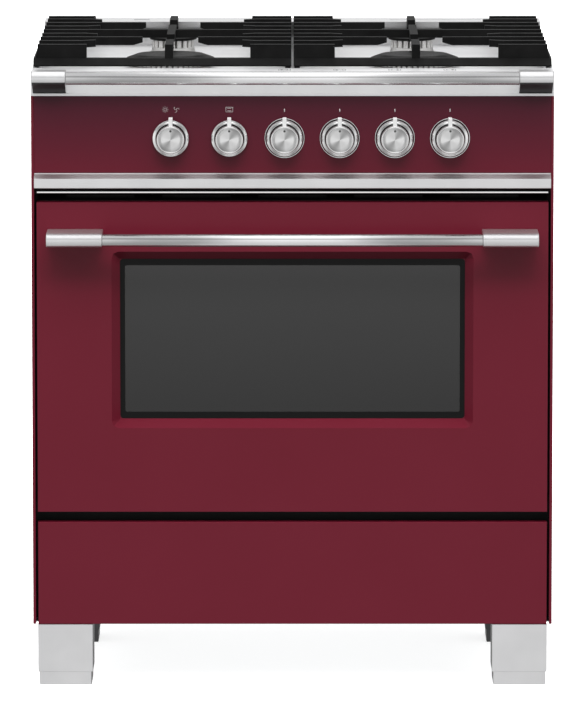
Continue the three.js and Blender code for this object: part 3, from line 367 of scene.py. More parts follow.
# Painted reflection: near black at the bottom of the door, a lighter grey near its top.
tint(tree, shader, height(tree), "#121212", "#333333", (door_low.z + 0.12, door_high.z - 0.1))
work(tree, shader, grain(tree, (300, 300, 300), 1.0), relief=(0.05, 0.2))
frit, tree, shader = start_material("ceramic_frit_black", "#0C0C0C", 0.3, Specular_IOR_Level=0.15)
work(tree, shader, grain(tree, (0.6, 0.6, 0.6), 1.0), (0.26, 0.36))


# %% [markdown]
# Three small finishes are left: the white ink of the printed marks, the pale ceramic of the
# spark electrodes, and the frosted glass of the oven lamp.

# %% Ink, ceramic and lamp glass
def make_fine_grained(name, colour, roughness, size_mm, depth_mm):
    material, tree, shader = start_material(name, colour, roughness)
    speck = grain(tree, (size_mm,) * 3, 2.0)
    work(tree, shader, speck, (roughness - 0.06, roughness + 0.06), (depth_mm, 0.4))
    return material


white_ink = make_fine_grained("screen_ink_white", "#D9D2D2", 0.5, 0.4, 0.01)
grey_ink = make_fine_grained("screen_ink_grey", "#4A4A4A", 0.5, 0.4, 0.01)
ceramic = make_fine_grained("electrode_ceramic", "#E6E3DA", 0.4, 1.0, 0.02)
lamp_glass = make_fine_grained("frosted_lamp_glass", "#E8E6DC", 0.35, 2.0, 0.05)
# Painted shade: a flat near-black that stands for the dark inside holes, gaps and grooves.
hole_painted_shade = make_fine_grained("shadowed_bore", "#0A0A0A", 0.8, 2.0, 0.02)
print("finishes", len(bpy.data.materials))


# %% [markdown]
# ## Ways of making a piece
#
# `shape` turns a bmesh into an object. `settle` names the body that it moves with, and hides
# the frame nodes that it stands for. `make` does both.

# %% Make an object of a bmesh
def shape(name, solid, material, smooth=True):
    mesh = bpy.data.meshes.new(name)
    solid.to_mesh(mesh)
    solid.free()
    piece = bpy.data.objects.new(name, mesh)
    bpy.context.scene.collection.objects.link(piece)
    piece.data.materials.append(material)
    if smooth:
        mesh.shade_smooth()
    return piece


# %% Say what a piece belongs to
def settle(piece, body, nodes=()):
    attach(piece, body)
    if nodes:
        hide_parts(*nodes)
    return piece
# %% Make a piece
def make(name, solid, material, body, nodes=(), smooth=True):
    return settle(shape(name, solid, material, smooth), body, nodes)


# %% Measure the middle of a frame node
def middle(node):
    low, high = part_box(node)
    return (low + high) / 2
# %% [markdown]
# A folded or cast edge is never sharp. `round_edges` gives a piece a small round on each
# edge that turns by more than 30 degrees. Then each corner takes its normal from the largest
# face at it, so that flat faces stay flat in the shading and only the rounds turn.

# %% Round a piece's edges
def round_edges(piece, radius_mm, segments=3, angle=30):
    bevel = piece.modifiers.new("rounded_edges", "BEVEL")
    bevel.width = radius_mm * MM
    bevel.segments = segments
    bevel.limit_method = "ANGLE"
    bevel.angle_limit = math.radians(angle)
    bevel.use_clamp_overlap = True
    flats = piece.modifiers.new("flat_faces_stay_flat", "WEIGHTED_NORMAL")
    flats.mode = "FACE_AREA"
    flats.weight = 100
    return piece


# %% Copy a frame node with its corners joined
def merged_copy(node):
    solid = bmesh.new()
    solid.from_mesh(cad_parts[node].data)
    bmesh.ops.remove_doubles(solid, verts=solid.verts, dist=0.01 * MM)
    bmesh.ops.dissolve_limit(
        solid, angle_limit=math.radians(0.5), verts=solid.verts, edges=solid.edges
    )
    return solid


# %% Finish a frame node
def finished(node, body, material, radius_mm, segments=3, angle=30, name=None):
    piece = shape(name or node + "_finished", merged_copy(node), material)
    round_edges(piece, radius_mm, segments, angle)
    return settle(piece, body, [node])


# %% [markdown]
# A turned piece is a profile of radius and height swept round an axis. Here the axis points
# at the viewer for knobs and screws, up for burners, and along the rail for the bars.

# %% Turn a profile round an axis
TURNS = {
    "x": Matrix.Rotation(math.pi / 2, 4, "Y"),
    "y": Matrix.Rotation(math.pi / 2, 4, "X"),
    "z": Matrix.Identity(4),
}


def turned(profile, centre, axis="z", sides=64):
    solid = bmesh.new()
    around = [2 * math.pi * i / sides for i in range(sides)]
    rings = []
    for radius, along in profile:
        spots = [(0, 0, along)]
        if radius > 1e-7:
            spots = [(radius * math.cos(a), radius * math.sin(a), along) for a in around]
        rings.append([solid.verts.new(spot) for spot in spots])
    for lower, upper in zip(rings, rings[1:]):
        for i in range(sides):
            j = (i + 1) % sides
            corners = ((lower, i), (lower, j), (upper, j), (upper, i))
            corners = list(dict.fromkeys(ring[k % len(ring)] for ring, k in corners))
            if len(corners) > 2:
                solid.faces.new(corners)
    bmesh.ops.recalc_face_normals(solid, faces=solid.faces)
    place = Matrix.Translation(centre) @ TURNS[axis]
    bmesh.ops.transform(solid, matrix=place, verts=solid.verts)
    return solid


# %% Turn a profile written in millimetres
def turned_mm(profile, centre, axis="z", sides=64):
    return turned(off_edge(profile, 0, 0), centre, axis, sides)


# %% Set points in millimetres off an edge of a profile
def off_edge(points, radius, along):
    return [(radius + u * MM, along + v * MM) for u, v in points]


# %% Put several solids in one
def gathered(solids):
    whole = bmesh.new()
    for solid in solids:
        mesh = bpy.data.meshes.new("part")
        solid.to_mesh(mesh)
        solid.free()
        whole.from_mesh(mesh)
        bpy.data.meshes.remove(mesh)
    return whole


# %% Make a block between two corners
def block(low, high):
    solid = bmesh.new()
    bmesh.ops.create_cube(solid, size=1.0)
    low, high = Vector(low), Vector(high)
    size = high - low
    place = Matrix.Translation((low + high) / 2) @ Matrix.Diagonal((*size, 1.0))
    bmesh.ops.transform(solid, matrix=place, verts=solid.verts)
    return solid


# %% Make a plate from an outline
def plate(outline, low, high, axis="y"):
    solid = bmesh.new()
    put = {
        "x": lambda u, v, w: (w, u, v),
        "y": lambda u, v, w: (u, w, v),
        "z": lambda u, v, w: (u, v, w),
    }[axis]
    base = [solid.verts.new(put(u, v, low)) for u, v in outline]
    face = solid.faces.new(base)
    grown = bmesh.ops.extrude_face_region(solid, geom=[face])
    moved = [item for item in grown["geom"] if isinstance(item, bmesh.types.BMVert)]
    bmesh.ops.translate(solid, verts=moved, vec=Vector(put(0, 0, high - low)))
    bmesh.ops.recalc_face_normals(solid, faces=solid.faces)
    return solid


# %% [markdown]
# Geometry Nodes make what repeats. One tree sets copies of a small source mesh along a
# straight row, another sets them round a circle. Each has its sizes as named inputs and ends
# in Realize Instances and Set Material, so that the result is one ordinary mesh.

# %% Start a geometry tree
def start_tree(name, inputs):
    tree = bpy.data.node_groups.new(name, "GeometryNodeTree")
    tree.interface.new_socket("Geometry", in_out="OUTPUT", socket_type="NodeSocketGeometry")
    tree.interface.new_socket("Geometry", in_out="INPUT", socket_type="NodeSocketGeometry")
    for label, kind in inputs:
        tree.interface.new_socket(label, in_out="INPUT", socket_type="NodeSocket" + kind)
    start = add(tree, "NodeGroupInput")
    return tree, start


# %% Set copies on points and end the tree
def end_tree(tree, start, points, rotation=None, shift=None):
    links = {"Points": points, "Instance": start.outputs["Geometry"]}
    if rotation:
        links["Rotation"] = rotation
    copies = add(tree, "GeometryNodeInstanceOnPoints", None, links).outputs["Instances"]
    if shift:
        moved = {"Geometry": copies, "Translation": shift}
        copies = add(tree, "GeometryNodeTransform", None, moved).outputs["Geometry"]
    real = add(tree, "GeometryNodeRealizeInstances", None, {"Geometry": copies})
    links = {"Geometry": real.outputs["Geometry"], "Material": start.outputs["Finish"]}
    dressed = add(tree, "GeometryNodeSetMaterial", None, links)
    add(tree, "NodeGroupOutput", None, {"Geometry": dressed.outputs["Geometry"]})
    return tree


# %% Copies along a row
def make_row_tree():
    inputs = [("Count", "Int"), ("First", "Vector"), ("Step", "Vector"), ("Finish", "Material")]
    tree, start = start_tree("row_of_copies", inputs)
    pairs = {"Count": "Count", "Start Location": "First", "Offset": "Step"}
    links = {socket: start.outputs[label] for socket, label in pairs.items()}
    line = add(tree, "GeometryNodeMeshLine", None, links, mode="OFFSET")
    return end_tree(tree, start, line.outputs["Mesh"])


# %% Copies round a circle
def make_ring_tree():
    inputs = [("Count", "Int"), ("Radius", "Float"), ("Centre", "Vector"), ("Finish", "Material")]
    tree, start = start_tree("ring_of_copies", inputs)
    links = {"Vertices": start.outputs["Count"], "Radius": start.outputs["Radius"]}
    circle = add(tree, "GeometryNodeMeshCircle", None, links)
    spot = add(tree, "GeometryNodeInputPosition").outputs["Position"]
    facing = add(
        tree, "FunctionNodeAlignEulerToVector", None, {"Vector": spot}, axis="X", pivot_axis="Z"
    )
    return end_tree(
        tree, start, circle.outputs["Mesh"], facing.outputs["Rotation"], start.outputs["Centre"]
    )


row_tree = make_row_tree()
ring_tree = make_ring_tree()
print("trees", [tree.name for tree in (row_tree, ring_tree)])


# %% Run a tree on a source and keep the mesh
def grown(name, tree, source, material, smooth=True, **values):
    seed = shape(name + "_source", source, material, smooth)
    modifier = seed.modifiers.new("copies", "NODES")
    modifier.node_group = tree
    sockets = {
        item.name: item.identifier
        for item in tree.interface.items_tree
        if item.item_type == "SOCKET" and item.in_out == "INPUT"
    }
    for label, value in {**values, "Finish": material}.items():
        modifier[sockets[label]] = value
    bpy.context.view_layer.update()
    ready = seed.evaluated_get(bpy.context.evaluated_depsgraph_get())
    mesh = bpy.data.meshes.new_from_object(ready)
    piece = bpy.data.objects.new(name, mesh)
    bpy.context.scene.collection.objects.link(piece)
    bpy.data.objects.remove(seed)
    return piece


# %% [markdown]
# ## Cabinet
#
# The two sides are folded enamelled panels with a round of 1.2 mm on the fold. The back and
# the base are galvanised, and the plate behind the door is black.

# %% Cabinet panels
for side in SIDES:
    finished(f"side_panel_{side}", "cabinet", red_enamel, 0.6)
finished("base_pan", "cabinet", galvanised, 0.4, 2)
finished("back_panel", "cabinet", galvanised, 0.3, 2)
finished("front_frame", "cabinet", frame_enamel, 0.5, 2)
print("cabinet panels", 5)

# %% [markdown]
# Pan-head screws hold the back panel and the front frame; only those on the back are made
# here. One screw is a low dome with a cross recess, and the row tree repeats it.


# %% One pan-head screw
def screw_head(radius_mm, facing):
    dome = [(0, 0), (1, 0), (1, 0.25), (0.9, 0.42), (0.65, 0.52), (0.3, 0.55), (0.28, 0.3), (0, 0.28)]
    solid = turned_mm([(r * radius_mm, h * radius_mm) for r, h in dome], Vector(), "z", 20)
    turn = Matrix.Rotation(-facing * math.pi / 2, 4, "X")
    bmesh.ops.transform(solid, matrix=turn, verts=solid.verts)
    return solid


# %% Screws on the back
back_low, back_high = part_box("back_panel")
SCREW_INSET = 14 * MM
SCREWS_PER_ROW = 7
step = (back_high.x - back_low.x - 2 * SCREW_INSET) / (SCREWS_PER_ROW - 1)
rows = [back_low.z + SCREW_INSET, middle("back_panel").z, back_high.z - 30 * MM]
for n, z in enumerate(rows):
    screws = grown(
        f"back_screws_{n}",
        row_tree,
        screw_head(4.5, 1),
        galvanised,
        Count=SCREWS_PER_ROW,
        First=(back_low.x + SCREW_INSET, back_high.y, z),
        Step=(step, 0, 0),
    )
    settle(screws, "cabinet")
print("screws on the back", len(rows) * SCREWS_PER_ROW, "every", round(step / MM), "mm")

# %% [markdown]
# Each leg is a stainless sleeve with a cast foot inside it and a thin dark joint between
# them. The rear legs and the inner sides of the front ones are painted in a darker steel:
# painted shade, for the shade under the range and between the legs.


# %% Paint shade on the faces that look one way
def paint_shade_on_faces(piece, way, least=0.9):
    piece.data.materials.append(steel_painted_shade)
    for face in piece.data.polygons:
        if face.normal.dot(way) > least:
            face.material_index = 1


# %% Legs and feet
for side, sign in SIDES.items():
    for place in PLACES:
        # The rear legs take the painted shade whole, the front ones on their inner sides.
        bright = steel_upright if place == "front" else steel_painted_shade
        leg = finished(f"leg_{place}_{side}", "cabinet", bright, 0.8)
        foot = finished(f"foot_{place}_{side}", f"foot_{place}_{side}", bright, 1.2)
        if place == "front":
            paint_shade_on_faces(leg, Vector((-sign, 0, 0)))
            paint_shade_on_faces(foot, Vector((-sign, 0, 0)))
print("legs and feet", 2 * len(SIDES) * len(PLACES))
# %% [markdown]
# ## Oven
#
# The liner keeps the frame's shape, with its pressed rack guides rounded. What makes an oven
# read as one is inside: a lamp, a slotted fan cover on screws, burners with ports, and racks
# of round wire.

# %% Oven body
finished("oven_liner", "cabinet", oven_enamel, 1.2)
finished("fan_cover", "cabinet", oven_enamel, 2.0)
finished("convection_fan", "fan", galvanised, 0.4, 2)
for node in ("bake_burner", "broil_burner", "gas_manifold"):
    finished(node, "cabinet", galvanised, 0.5, 2, 50)
stems = ["oven"] + [f"burner_{n}" for n in range(1, 5)]
for stem in stems:
    finished(f"valve_stem_{stem}", f"stem_{stem}", galvanised, 0.3, 2, 50)
print("valve stems", len(stems))

# %% Ports along the broil burner
# Each port is a small dark disc of painted shade, for the dark inside the hole.
broil_low, broil_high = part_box("broil_burner")
TUBE_RADIUS = 9 * MM
PORTS = 22
PORT_PITCH = 11 * MM
FIRST_PORT = 30 * MM
for side, sign in SIDES.items():
    x = sign * (broil_high.x - TUBE_RADIUS)
    ports = grown(
        f"broil_ports_{side}",
        row_tree,
        turned_mm([(0, -0.4), (1.4, -0.4), (1.4, 0.6), (0, 0.6)], Vector(), "z", 8),
        hole_painted_shade,
        Count=PORTS,
        First=(x, broil_low.y + FIRST_PORT, broil_low.z + 0.1 * MM),
        Step=(0, PORT_PITCH, 0),
    )
    settle(ports, "cabinet")
print("burner ports", 2 * PORTS)

# %% [markdown]
# A rack is welded from round wire: two thick side rods, a front and a back bar, thin rods
# between them and one crossbar under the middle. Each rod is one short tube, repeated by the
# row tree.


# %% One straight rod
def rod(start, end, radius, sides=12):
    start, end = Vector(start), Vector(end)
    length = (end - start).length
    cap = min(radius * 0.35, length / 4)
    profile = [(0, 0), (radius - cap, 0), (radius, cap)]
    profile += [(radius, length - cap), (radius - cap, length), (0, length)]
    solid = turned(profile, Vector(), "z", sides)
    turn = (end - start).to_track_quat("Z", "Y").to_matrix().to_4x4()
    bmesh.ops.transform(solid, matrix=Matrix.Translation(start) @ turn, verts=solid.verts)
    return solid


# %% Oven racks
SPOKES = 19


def make_rack(level):
    node = f"oven_rack_{level}"
    low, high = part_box(node)
    thick, thin = 3 * MM, 2 * MM
    z = low.z + 4 * MM
    top = high.z - thin
    left, right = low.x + thick, high.x - thick
    front, back = low.y + thick, high.y - thick
    half_way = (front + back) / 2
    inset = 12 * MM
    rods = [rod((x, front, z), (x, back, z), thick) for x in (left, right)]
    rods += [rod((left, y, z), (right, y, z), thick) for y in (front, back)]
    rods += [rod((left + inset, half_way, z - MM), (right - inset, half_way, z - MM), thick)]
    rods += [rod((left, back, top), (right, back, top), thin)]
    rods += [rod((x, back, z), (x, back, top), thin) for x in (left, 0, right)]
    make(node + "_border", gathered(rods), chrome_wire, f"{level}_rack", [node])
    pitch = (right - left) / (SPOKES + 1)
    spoke = rod((0, front, z + MM), (0, back, z + MM), thin, 10)
    row = {"Count": SPOKES, "First": (left + pitch, 0, 0), "Step": (pitch, 0, 0)}
    wires = grown(node + "_wires", row_tree, spoke, chrome_wire, **row)
    settle(wires, f"{level}_rack")
    print(node, "spokes every", round(pitch / MM, 1), "mm")


for level in ("lower", "upper"):
    make_rack(level)

# %% Oven lamp
liner_low, liner_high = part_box("oven_liner")
lamp_spot = Vector((liner_high.x - 60 * MM, liner_low.y + 120 * MM, liner_high.z - 1.5 * MM))
lens = turned_mm([(0, -14), (12, -13), (19, -9), (22, -3), (22, 0), (0, 0)], lamp_spot, "z", 40)
make("oven_lamp_lens", lens, lamp_glass, "cabinet")
collar = [(22, 0), (28, 0), (28, -3), (26, -5), (22.5, -5), (22, -4), (22, 0)]
collar = turned_mm(collar, lamp_spot, "z", 40)
make("oven_lamp_collar", collar, polished_steel, "cabinet")
print("lamp at", [round(c, 3) for c in lamp_spot])

# %% [markdown]
# The seal is a rope in a groove round the oven mouth. Its section is a rounded strip, swept
# along a rounded rectangle, and it stands for the frame's flat seal.


# %% A rounded rectangle as points
def rounded_outline(left, right, bottom, top, radius, steps=8):
    corners = [
        (right - radius, bottom + radius, -90),
        (right - radius, top - radius, 0),
        (left + radius, top - radius, 90),
        (left + radius, bottom + radius, 180),
    ]
    points = []
    for u, v, start in corners:
        for i in range(steps + 1):
            angle = math.radians(start + 90 * i / steps)
            points.append((u + radius * math.cos(angle), v + radius * math.sin(angle)))
    return points


# %% Sweep a section round an outline
def swept_ring(outline, section, y):
    solid = bmesh.new()
    count = len(outline)
    loops = []
    for i in range(count):
        before, here, after = (Vector(outline[(i + k) % count]) for k in (-1, 0, 1))
        along = (after - before).normalized()
        out = Vector((along.y, -along.x))
        spots = [(here.x + out.x * u, y + w, here.y + out.y * u) for u, w in section]
        loops.append([solid.verts.new(spot) for spot in spots])
    for first, second in zip(loops, loops[1:] + loops[:1]):
        for k in range(len(section)):
            m = (k + 1) % len(section)
            solid.faces.new((first[k], first[m], second[m], second[k]))
    bmesh.ops.recalc_face_normals(solid, faces=solid.faces)
    return solid


# %% Oven seal
seal_low, seal_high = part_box("door_gasket")
half_deep = (seal_high.y - seal_low.y) / 2
half_wide = 4.6 * MM
clock = [2 * math.pi * k / 12 for k in range(12)]
section = [(half_wide * math.cos(a), half_deep * math.sin(a)) for a in clock]
low, high = seal_low + Vector.Fill(3, half_wide), seal_high - Vector.Fill(3, half_wide)
seal_path = rounded_outline(low.x, high.x, low.z, high.z, 11 * MM)
seal = swept_ring(seal_path, section, middle("door_gasket").y)
make("oven_seal", seal, gasket_braid, "cabinet", ["door_gasket"])
print("seal", round((seal_high.x - seal_low.x) / MM), "mm wide")

# %% [markdown]
# ## Console
#
# The console is a plain enamelled panel over a stainless trim with a sloped top edge.

# %% Console panel and trim
finished("console_panel", "cabinet", console_enamel_painted_shade, 0.5)
finished("console_trim", "cabinet", steel_across, 0.7)
print("console", round((panel_high.z - panel_low.z) / MM, 1), "mm high")

# %% [markdown]
# Under the trim the cabinet ends in a bright folded lip, as wide as the door.

# %% Lip over the vent
LIP_DROP = 8.2 * MM
LIP_THICK = 2.6 * MM
lip_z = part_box("console_trim")[0].z - LIP_DROP
lip_low = (door_low.x, front_y + 4 * MM, lip_z)
lip_high = (-door_low.x, front_y + 22 * MM, lip_z + LIP_THICK)
lip = round_edges(shape("vent_lip", block(lip_low, lip_high), polished_steel), 0.6)
settle(lip, "cabinet")
print("lip at", round(lip_z, 4))

# %% [markdown]
# A knob has four parts: a wide skirt with a polished slope, a body with a fine chamfer, a
# spun face, and a bright pointer bar that crosses the skirt. On the burner knobs a bezel
# ring surrounds the skirt. The skirt slopes back at its rim, so it mirrors the room, and the
# body stands in front of it.


# %% One knob
BODY_RADIUS = 20.4 * MM
FACE_RADIUS = 17.4 * MM
POINTER_HALF = 2.9 * MM
SKIRT_EDGE = [(-1.2, 0), (0, 0.8), (0, 2.2), (-0.8, 3.2), (-3.5, 5), (-5, 5.6)]
pointer_steel = make_fine_grained("bright_pointer_lacquer", "#F2F2F2", 0.3, 1.0, 0.01)


def make_knob(name):
    low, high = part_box(name)
    x = (low.x + high.x) / 2
    skirt_r = (high.x - low.x) / 2
    body_r, face_r = BODY_RADIUS, FACE_RADIUS
    centre = Vector((x, 0, knob_z))
    deep = -low.y
    rim = 5 * MM - panel_low.y
    skirt = [(0, rim)] + off_edge(SKIRT_EDGE, skirt_r, rim) + [(0, rim + 5.6 * MM)]
    barrel = [(0, rim + 5 * MM)] + off_edge([(-1, 5), (-0.3, 7)], body_r, rim)
    barrel += off_edge([(0, -2), (-0.5, -0.7), (-1.4, 0)], body_r, deep)
    barrel += off_edge([(0.5, 0), (0, -0.6)], face_r, deep) + [(0, deep - 0.6 * MM)]
    foot = [(body_r - MM, rim + 5.8 * MM), (body_r + 1.4 * MM, rim + 5.8 * MM)]
    face = [(r, deep - 0.1 * MM) for r in (0, 6 * MM, 12 * MM, face_r - 0.6 * MM)]
    disc = turned(face + [(face_r - 0.2 * MM, deep - 0.5 * MM)], centre, "y", 72)
    add_turning_map(disc, x, face_r)
    mark = [(0, deep), (1.5 * MM, deep), (1.7 * MM, deep - 0.12 * MM)]
    mark_spot = centre + Vector((0, 0, 12.9 * MM))
    make(name + "_skirt", turned(skirt, centre, "y", 72), polished_steel, name, [name])
    make(name + "_body", turned(barrel, centre, "y", 72), polished_steel, name)
    # A ring of painted shade fills the gap between the body and the skirt.
    make(name + "_shadow_gap", turned(foot, centre, "y", 72), hole_painted_shade, name)
    make(name + "_face", disc, spun_steel, name)
    make(name + "_dot", turned(mark, mark_spot, "y", 20), grey_ink, name)
    bar = block(
        (x - POINTER_HALF, -deep + 5 * MM, knob_z + body_r - 1.5 * MM),
        (x + POINTER_HALF, -rim - MM, high.z),
    )
    pointer = round_edges(shape(name + "_pointer", bar, pointer_steel), 0.7)
    settle(pointer, name)
    print(name, "skirt", round(2 * skirt_r / MM, 1), "mm across")


# %% Give a disc a map whose u runs round its centre
def add_turning_map(solid, x, radius):
    layer = solid.loops.layers.uv.new("round_centre")
    for face in solid.faces:
        middle = face.calc_center_median()
        middle_angle = math.atan2(middle.z - knob_z, middle.x - x)
        for loop in face.loops:
            u, v = loop.vert.co.x - x, loop.vert.co.z - knob_z
            angle = math.atan2(v, u) if math.hypot(u, v) > 1e-6 else middle_angle
            if angle - middle_angle > math.pi:
                angle -= 2 * math.pi
            if middle_angle - angle > math.pi:
                angle += 2 * math.pi
            loop[layer].uv = (angle / (2 * math.pi), math.hypot(u, v) / radius)


for name in knob_names:
    make_knob(name)

# %% [markdown]
# The burner knobs sit in a fixed bezel: a thin polished ring, with a flat disc of painted
# shade inside it for the dark of the groove. It is low, so that the pointer clears it when the
# knob is pushed in.

# %% Bezels
BEZEL_OUTER = 29.1 * MM
BEZEL_INNER = 27.6 * MM
burner_knobs = knob_names[2:]
for name in burner_knobs:
    centre = Vector((middle(name).x, 0, knob_z))
    y = -panel_low.y
    ring = [(BEZEL_INNER, y), (BEZEL_OUTER, y), (BEZEL_OUTER, y + 1.2 * MM)]
    ring += [(BEZEL_OUTER - 0.5 * MM, y + 1.7 * MM), (BEZEL_INNER + 0.3 * MM, y + 1.7 * MM)]
    ring += [(BEZEL_INNER, y + 1.4 * MM), (BEZEL_INNER, y)]
    bezel = turned(ring, centre, "y", 72)
    make(name.replace("knob", "bezel"), bezel, polished_steel, "cabinet")
    groove = turned([(0, y + 0.3 * MM), (BEZEL_INNER, y + 0.3 * MM)], centre, "y", 48)
    make(name.replace("knob", "bezel_groove_painted_shade"), groove, hole_painted_shade, "cabinet")
print("bezels", len(burner_knobs))

# %% [markdown]
# Marks are printed in white. Over each burner knob is one short tick for its off position.
# Over the two oven knobs stand small generic signs instead of words: a lamp and a fan, and
# two heating bars in a box.

# %% Ticks over the burner knobs
INK = 0.12 * MM
SUNK = 0.02 * MM
tick_x = middle(burner_knobs[0]).x
pitch = middle(burner_knobs[1]).x - tick_x
tick = plate(rounded_outline(-0.75 * MM, 0.75 * MM, 38 * MM, 42.6 * MM, 0.6 * MM, 3), -INK, SUNK)
row = {"Count": 4, "First": (tick_x, panel_low.y, knob_z), "Step": (pitch, 0, 0)}
settle(grown("burner_ticks", row_tree, tick, white_ink, **row), "cabinet")
print("ticks every", round(pitch / MM, 1), "mm")


# %% Give a thin stroke its four corners
def stroke(line, width):
    start, end = Vector(line[0]), Vector(line[1])
    along = (end - start).normalized()
    across = Vector((-along.y, along.x)) * width / 2
    return [start - across, end - across, end + across, start + across]


# %% Draw a sign on the console
SIGN_RISE = 41.5 * MM


def make_sign(name, lines, width_mm, x):
    z = knob_z + SIGN_RISE
    solids = []
    for line in lines:
        outline = [(x + c.x * MM, z + c.y * MM) for c in stroke(line, width_mm)]
        solids.append(plate(outline, panel_low.y - INK, panel_low.y + SUNK))
    make(name, gathered(solids), white_ink, "cabinet")
    print(name, "strokes", len(lines))


# %% Points round an arc, and their lines
def on_circle(radius, degrees, centre=(0, 0)):
    angle = math.radians(degrees)
    return (centre[0] + radius * math.cos(angle), centre[1] + radius * math.sin(angle))


def arc_lines(radius, start=0, end=360, steps=24, centre=(0, 0)):
    turns = [start + (end - start) * i / steps for i in range(steps + 1)]
    points = [on_circle(radius, turn, centre) for turn in turns]
    return list(zip(points, points[1:]))


# %% Signs over the oven knobs
LAMP = (-8, 0)
FAN = (8, 0)
rays = [(on_circle(3.3, 45 * k, LAMP), on_circle(4.6, 45 * k, LAMP)) for k in range(8)]
blades = []
for turn in (0, 120, 240):
    blades += arc_lines(2.1, turn, turn + 180, 10, on_circle(2.1, turn, FAN))
make_sign("selector_sign", arc_lines(2.1, centre=LAMP) + rays + blades, 0.55, middle("knob_selector").x)
corners = [(-5, -3.4), (5, -3.4), (5, 3.4), (-5, 3.4)]
box_lines = list(zip(corners, corners[1:] + corners[:1]))
heating_bars = [((-3, v), (3, v)) for v in (-1.8, 1.8)]
make_sign("oven_sign", box_lines + heating_bars, 0.6, middle("knob_oven").x)

# %% [markdown]
# ## Cooktop
#
# The cooktop is one stainless pressing. The rail in front of it and its two brackets are
# separate, and the strip over the console carries a small sign for each burner knob.

# %% Cooktop, rear trim and rail
finished("cooktop_tray", "cabinet", steel_satin, 0.6)
finished("rear_trim", "cabinet", steel_across, 1.0)
for side in SIDES:
    bracket = finished(f"rail_bracket_{side}", "cabinet", steel_soft, 0.8, 3, 35)
    # Painted shade: the brackets' undersides, facing down and forward, take the darker steel.
    paint_shade_on_faces(bracket, Vector((0, -0.4, -0.92)), 0.85)
print("cooktop", round(2 * half_width / MM), "mm wide")


# %% A round bar along x
def make_bar(node, body, material):
    low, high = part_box(node)
    radius = (high.z - low.z) / 2
    end = 0.6 * MM
    profile = [(0, low.x), (radius - end, low.x), (radius, low.x + end)]
    profile += [(radius, high.x - end), (radius - end, high.x), (0, high.x)]
    centre = Vector((0, (low.y + high.y) / 2, (low.z + high.z) / 2))
    make(node + "_bar", turned(profile, centre, "x", 72), material, body, [node])
    print(node, round(2 * radius / MM, 1), "mm thick")


make_bar("front_rail", "cabinet", steel_bar)

# %% Signs on the strip
strip_y = tray_low.y + 27 * MM
SIGN_CORNERS = [(-8.5, -8.5), (8.5, -8.5), (8.5, 8.5), (-8.5, 8.5)]
DOT_PLACES = [(-4.2, 3.6), (4.2, 3.6), (-4.2, -3.6), (4.2, -3.6)]


def make_strip_sign(name, x, filled):
    solids = []
    for (u0, v0), (u1, v1) in zip(SIGN_CORNERS, SIGN_CORNERS[1:] + SIGN_CORNERS[:1]):
        corners = stroke(((u0, v0 / 2), (u1, v1 / 2)), 0.7)
        outline = [(x + c.x * MM, strip_y + 2 * c.y * MM) for c in corners]
        solids.append(plate(outline, strip_z - SUNK, strip_z + INK, "z"))
    for n, (u, v) in enumerate(DOT_PLACES):
        radius = (1.9 if n == filled else 0.8) * MM
        spot = Vector((x + u * MM, strip_y + v * MM, strip_z))
        solids.append(turned([(0, INK), (radius, INK), (radius, -SUNK)], spot, "z", 16))
    make(name, gathered(solids), grey_ink, "cabinet")


for n, filled in enumerate((0, 2, 3, 1)):
    make_strip_sign(f"burner_sign_{n + 1}", middle(burner_knobs[n]).x, filled)
print("signs on the strip", 4)

# %% [markdown]
# A burner head is a ring of teeth. Gas leaves between them, so the slots run outward, and
# a cap covers the teeth. The large front burners hide their teeth under a wide black cap,
# and the rear ones show theirs as a bright crown under a small cap.


# %% One tooth of a crown
def tooth(length, width, height):
    solid = block((-length / 2, -width / 2, 0), (length / 2, width / 2, height))
    edges = []
    for edge in solid.edges:
        lower, upper = sorted(v.co.z for v in edge.verts)
        if upper - lower > 1e-6 or lower > height / 2:
            edges.append(edge)
    bmesh.ops.bevel(solid, geom=edges, offset=0.4 * MM, segments=2, affect="EDGES", profile=0.5)
    return solid


# %% Burner heads
LARGE = 40 * MM
PAN_DEPTH = 12 * MM


def upright(node):
    low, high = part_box(node)
    return low, high, Vector(((low.x + high.x) / 2, (low.y + high.y) / 2, 0)), (high.x - low.x) / 2


def make_burner(place, side, teeth, tooth_height):
    name = f"burner_head_{place}_{side}"
    low, high, centre, radius = upright(name)
    pan_z = strip_z - PAN_DEPTH + 0.3 * MM
    deck = high.z - tooth_height
    neck = (24 if radius > LARGE else 16) * MM
    profile = [(0, low.z), (neck, low.z), (neck, pan_z)]
    profile += off_edge([(0, 0), (0, 1.5), (-1.2, 3)], radius, pan_z)
    profile += off_edge([(-1.5, -1), (-2.3, 0), (-9, 0)], radius, deck)
    profile += [(radius - 9.4 * MM, high.z - 0.3 * MM), (0, high.z - 0.3 * MM)]
    base = turned(profile, centre, "z", 72)
    make(name + "_base", base, burner_alloy, "cabinet", [name])
    crown_radius = radius - 6 * MM
    gap = 2 * math.pi * crown_radius / teeth
    crown = grown(
        name + "_teeth",
        ring_tree,
        tooth(8 * MM, gap * 0.76, tooth_height),
        burner_alloy,
        smooth=False,
        Count=teeth,
        Radius=crown_radius,
        Centre=(centre.x, centre.y, deck - 0.1 * MM),
    )
    settle(crown, "cabinet")
    print(name, "teeth every", round(gap / MM, 1), "mm")


for side in SIDES:
    make_burner("front", side, 44, 5 * MM)
    make_burner("rear", side, 20, 11 * MM)


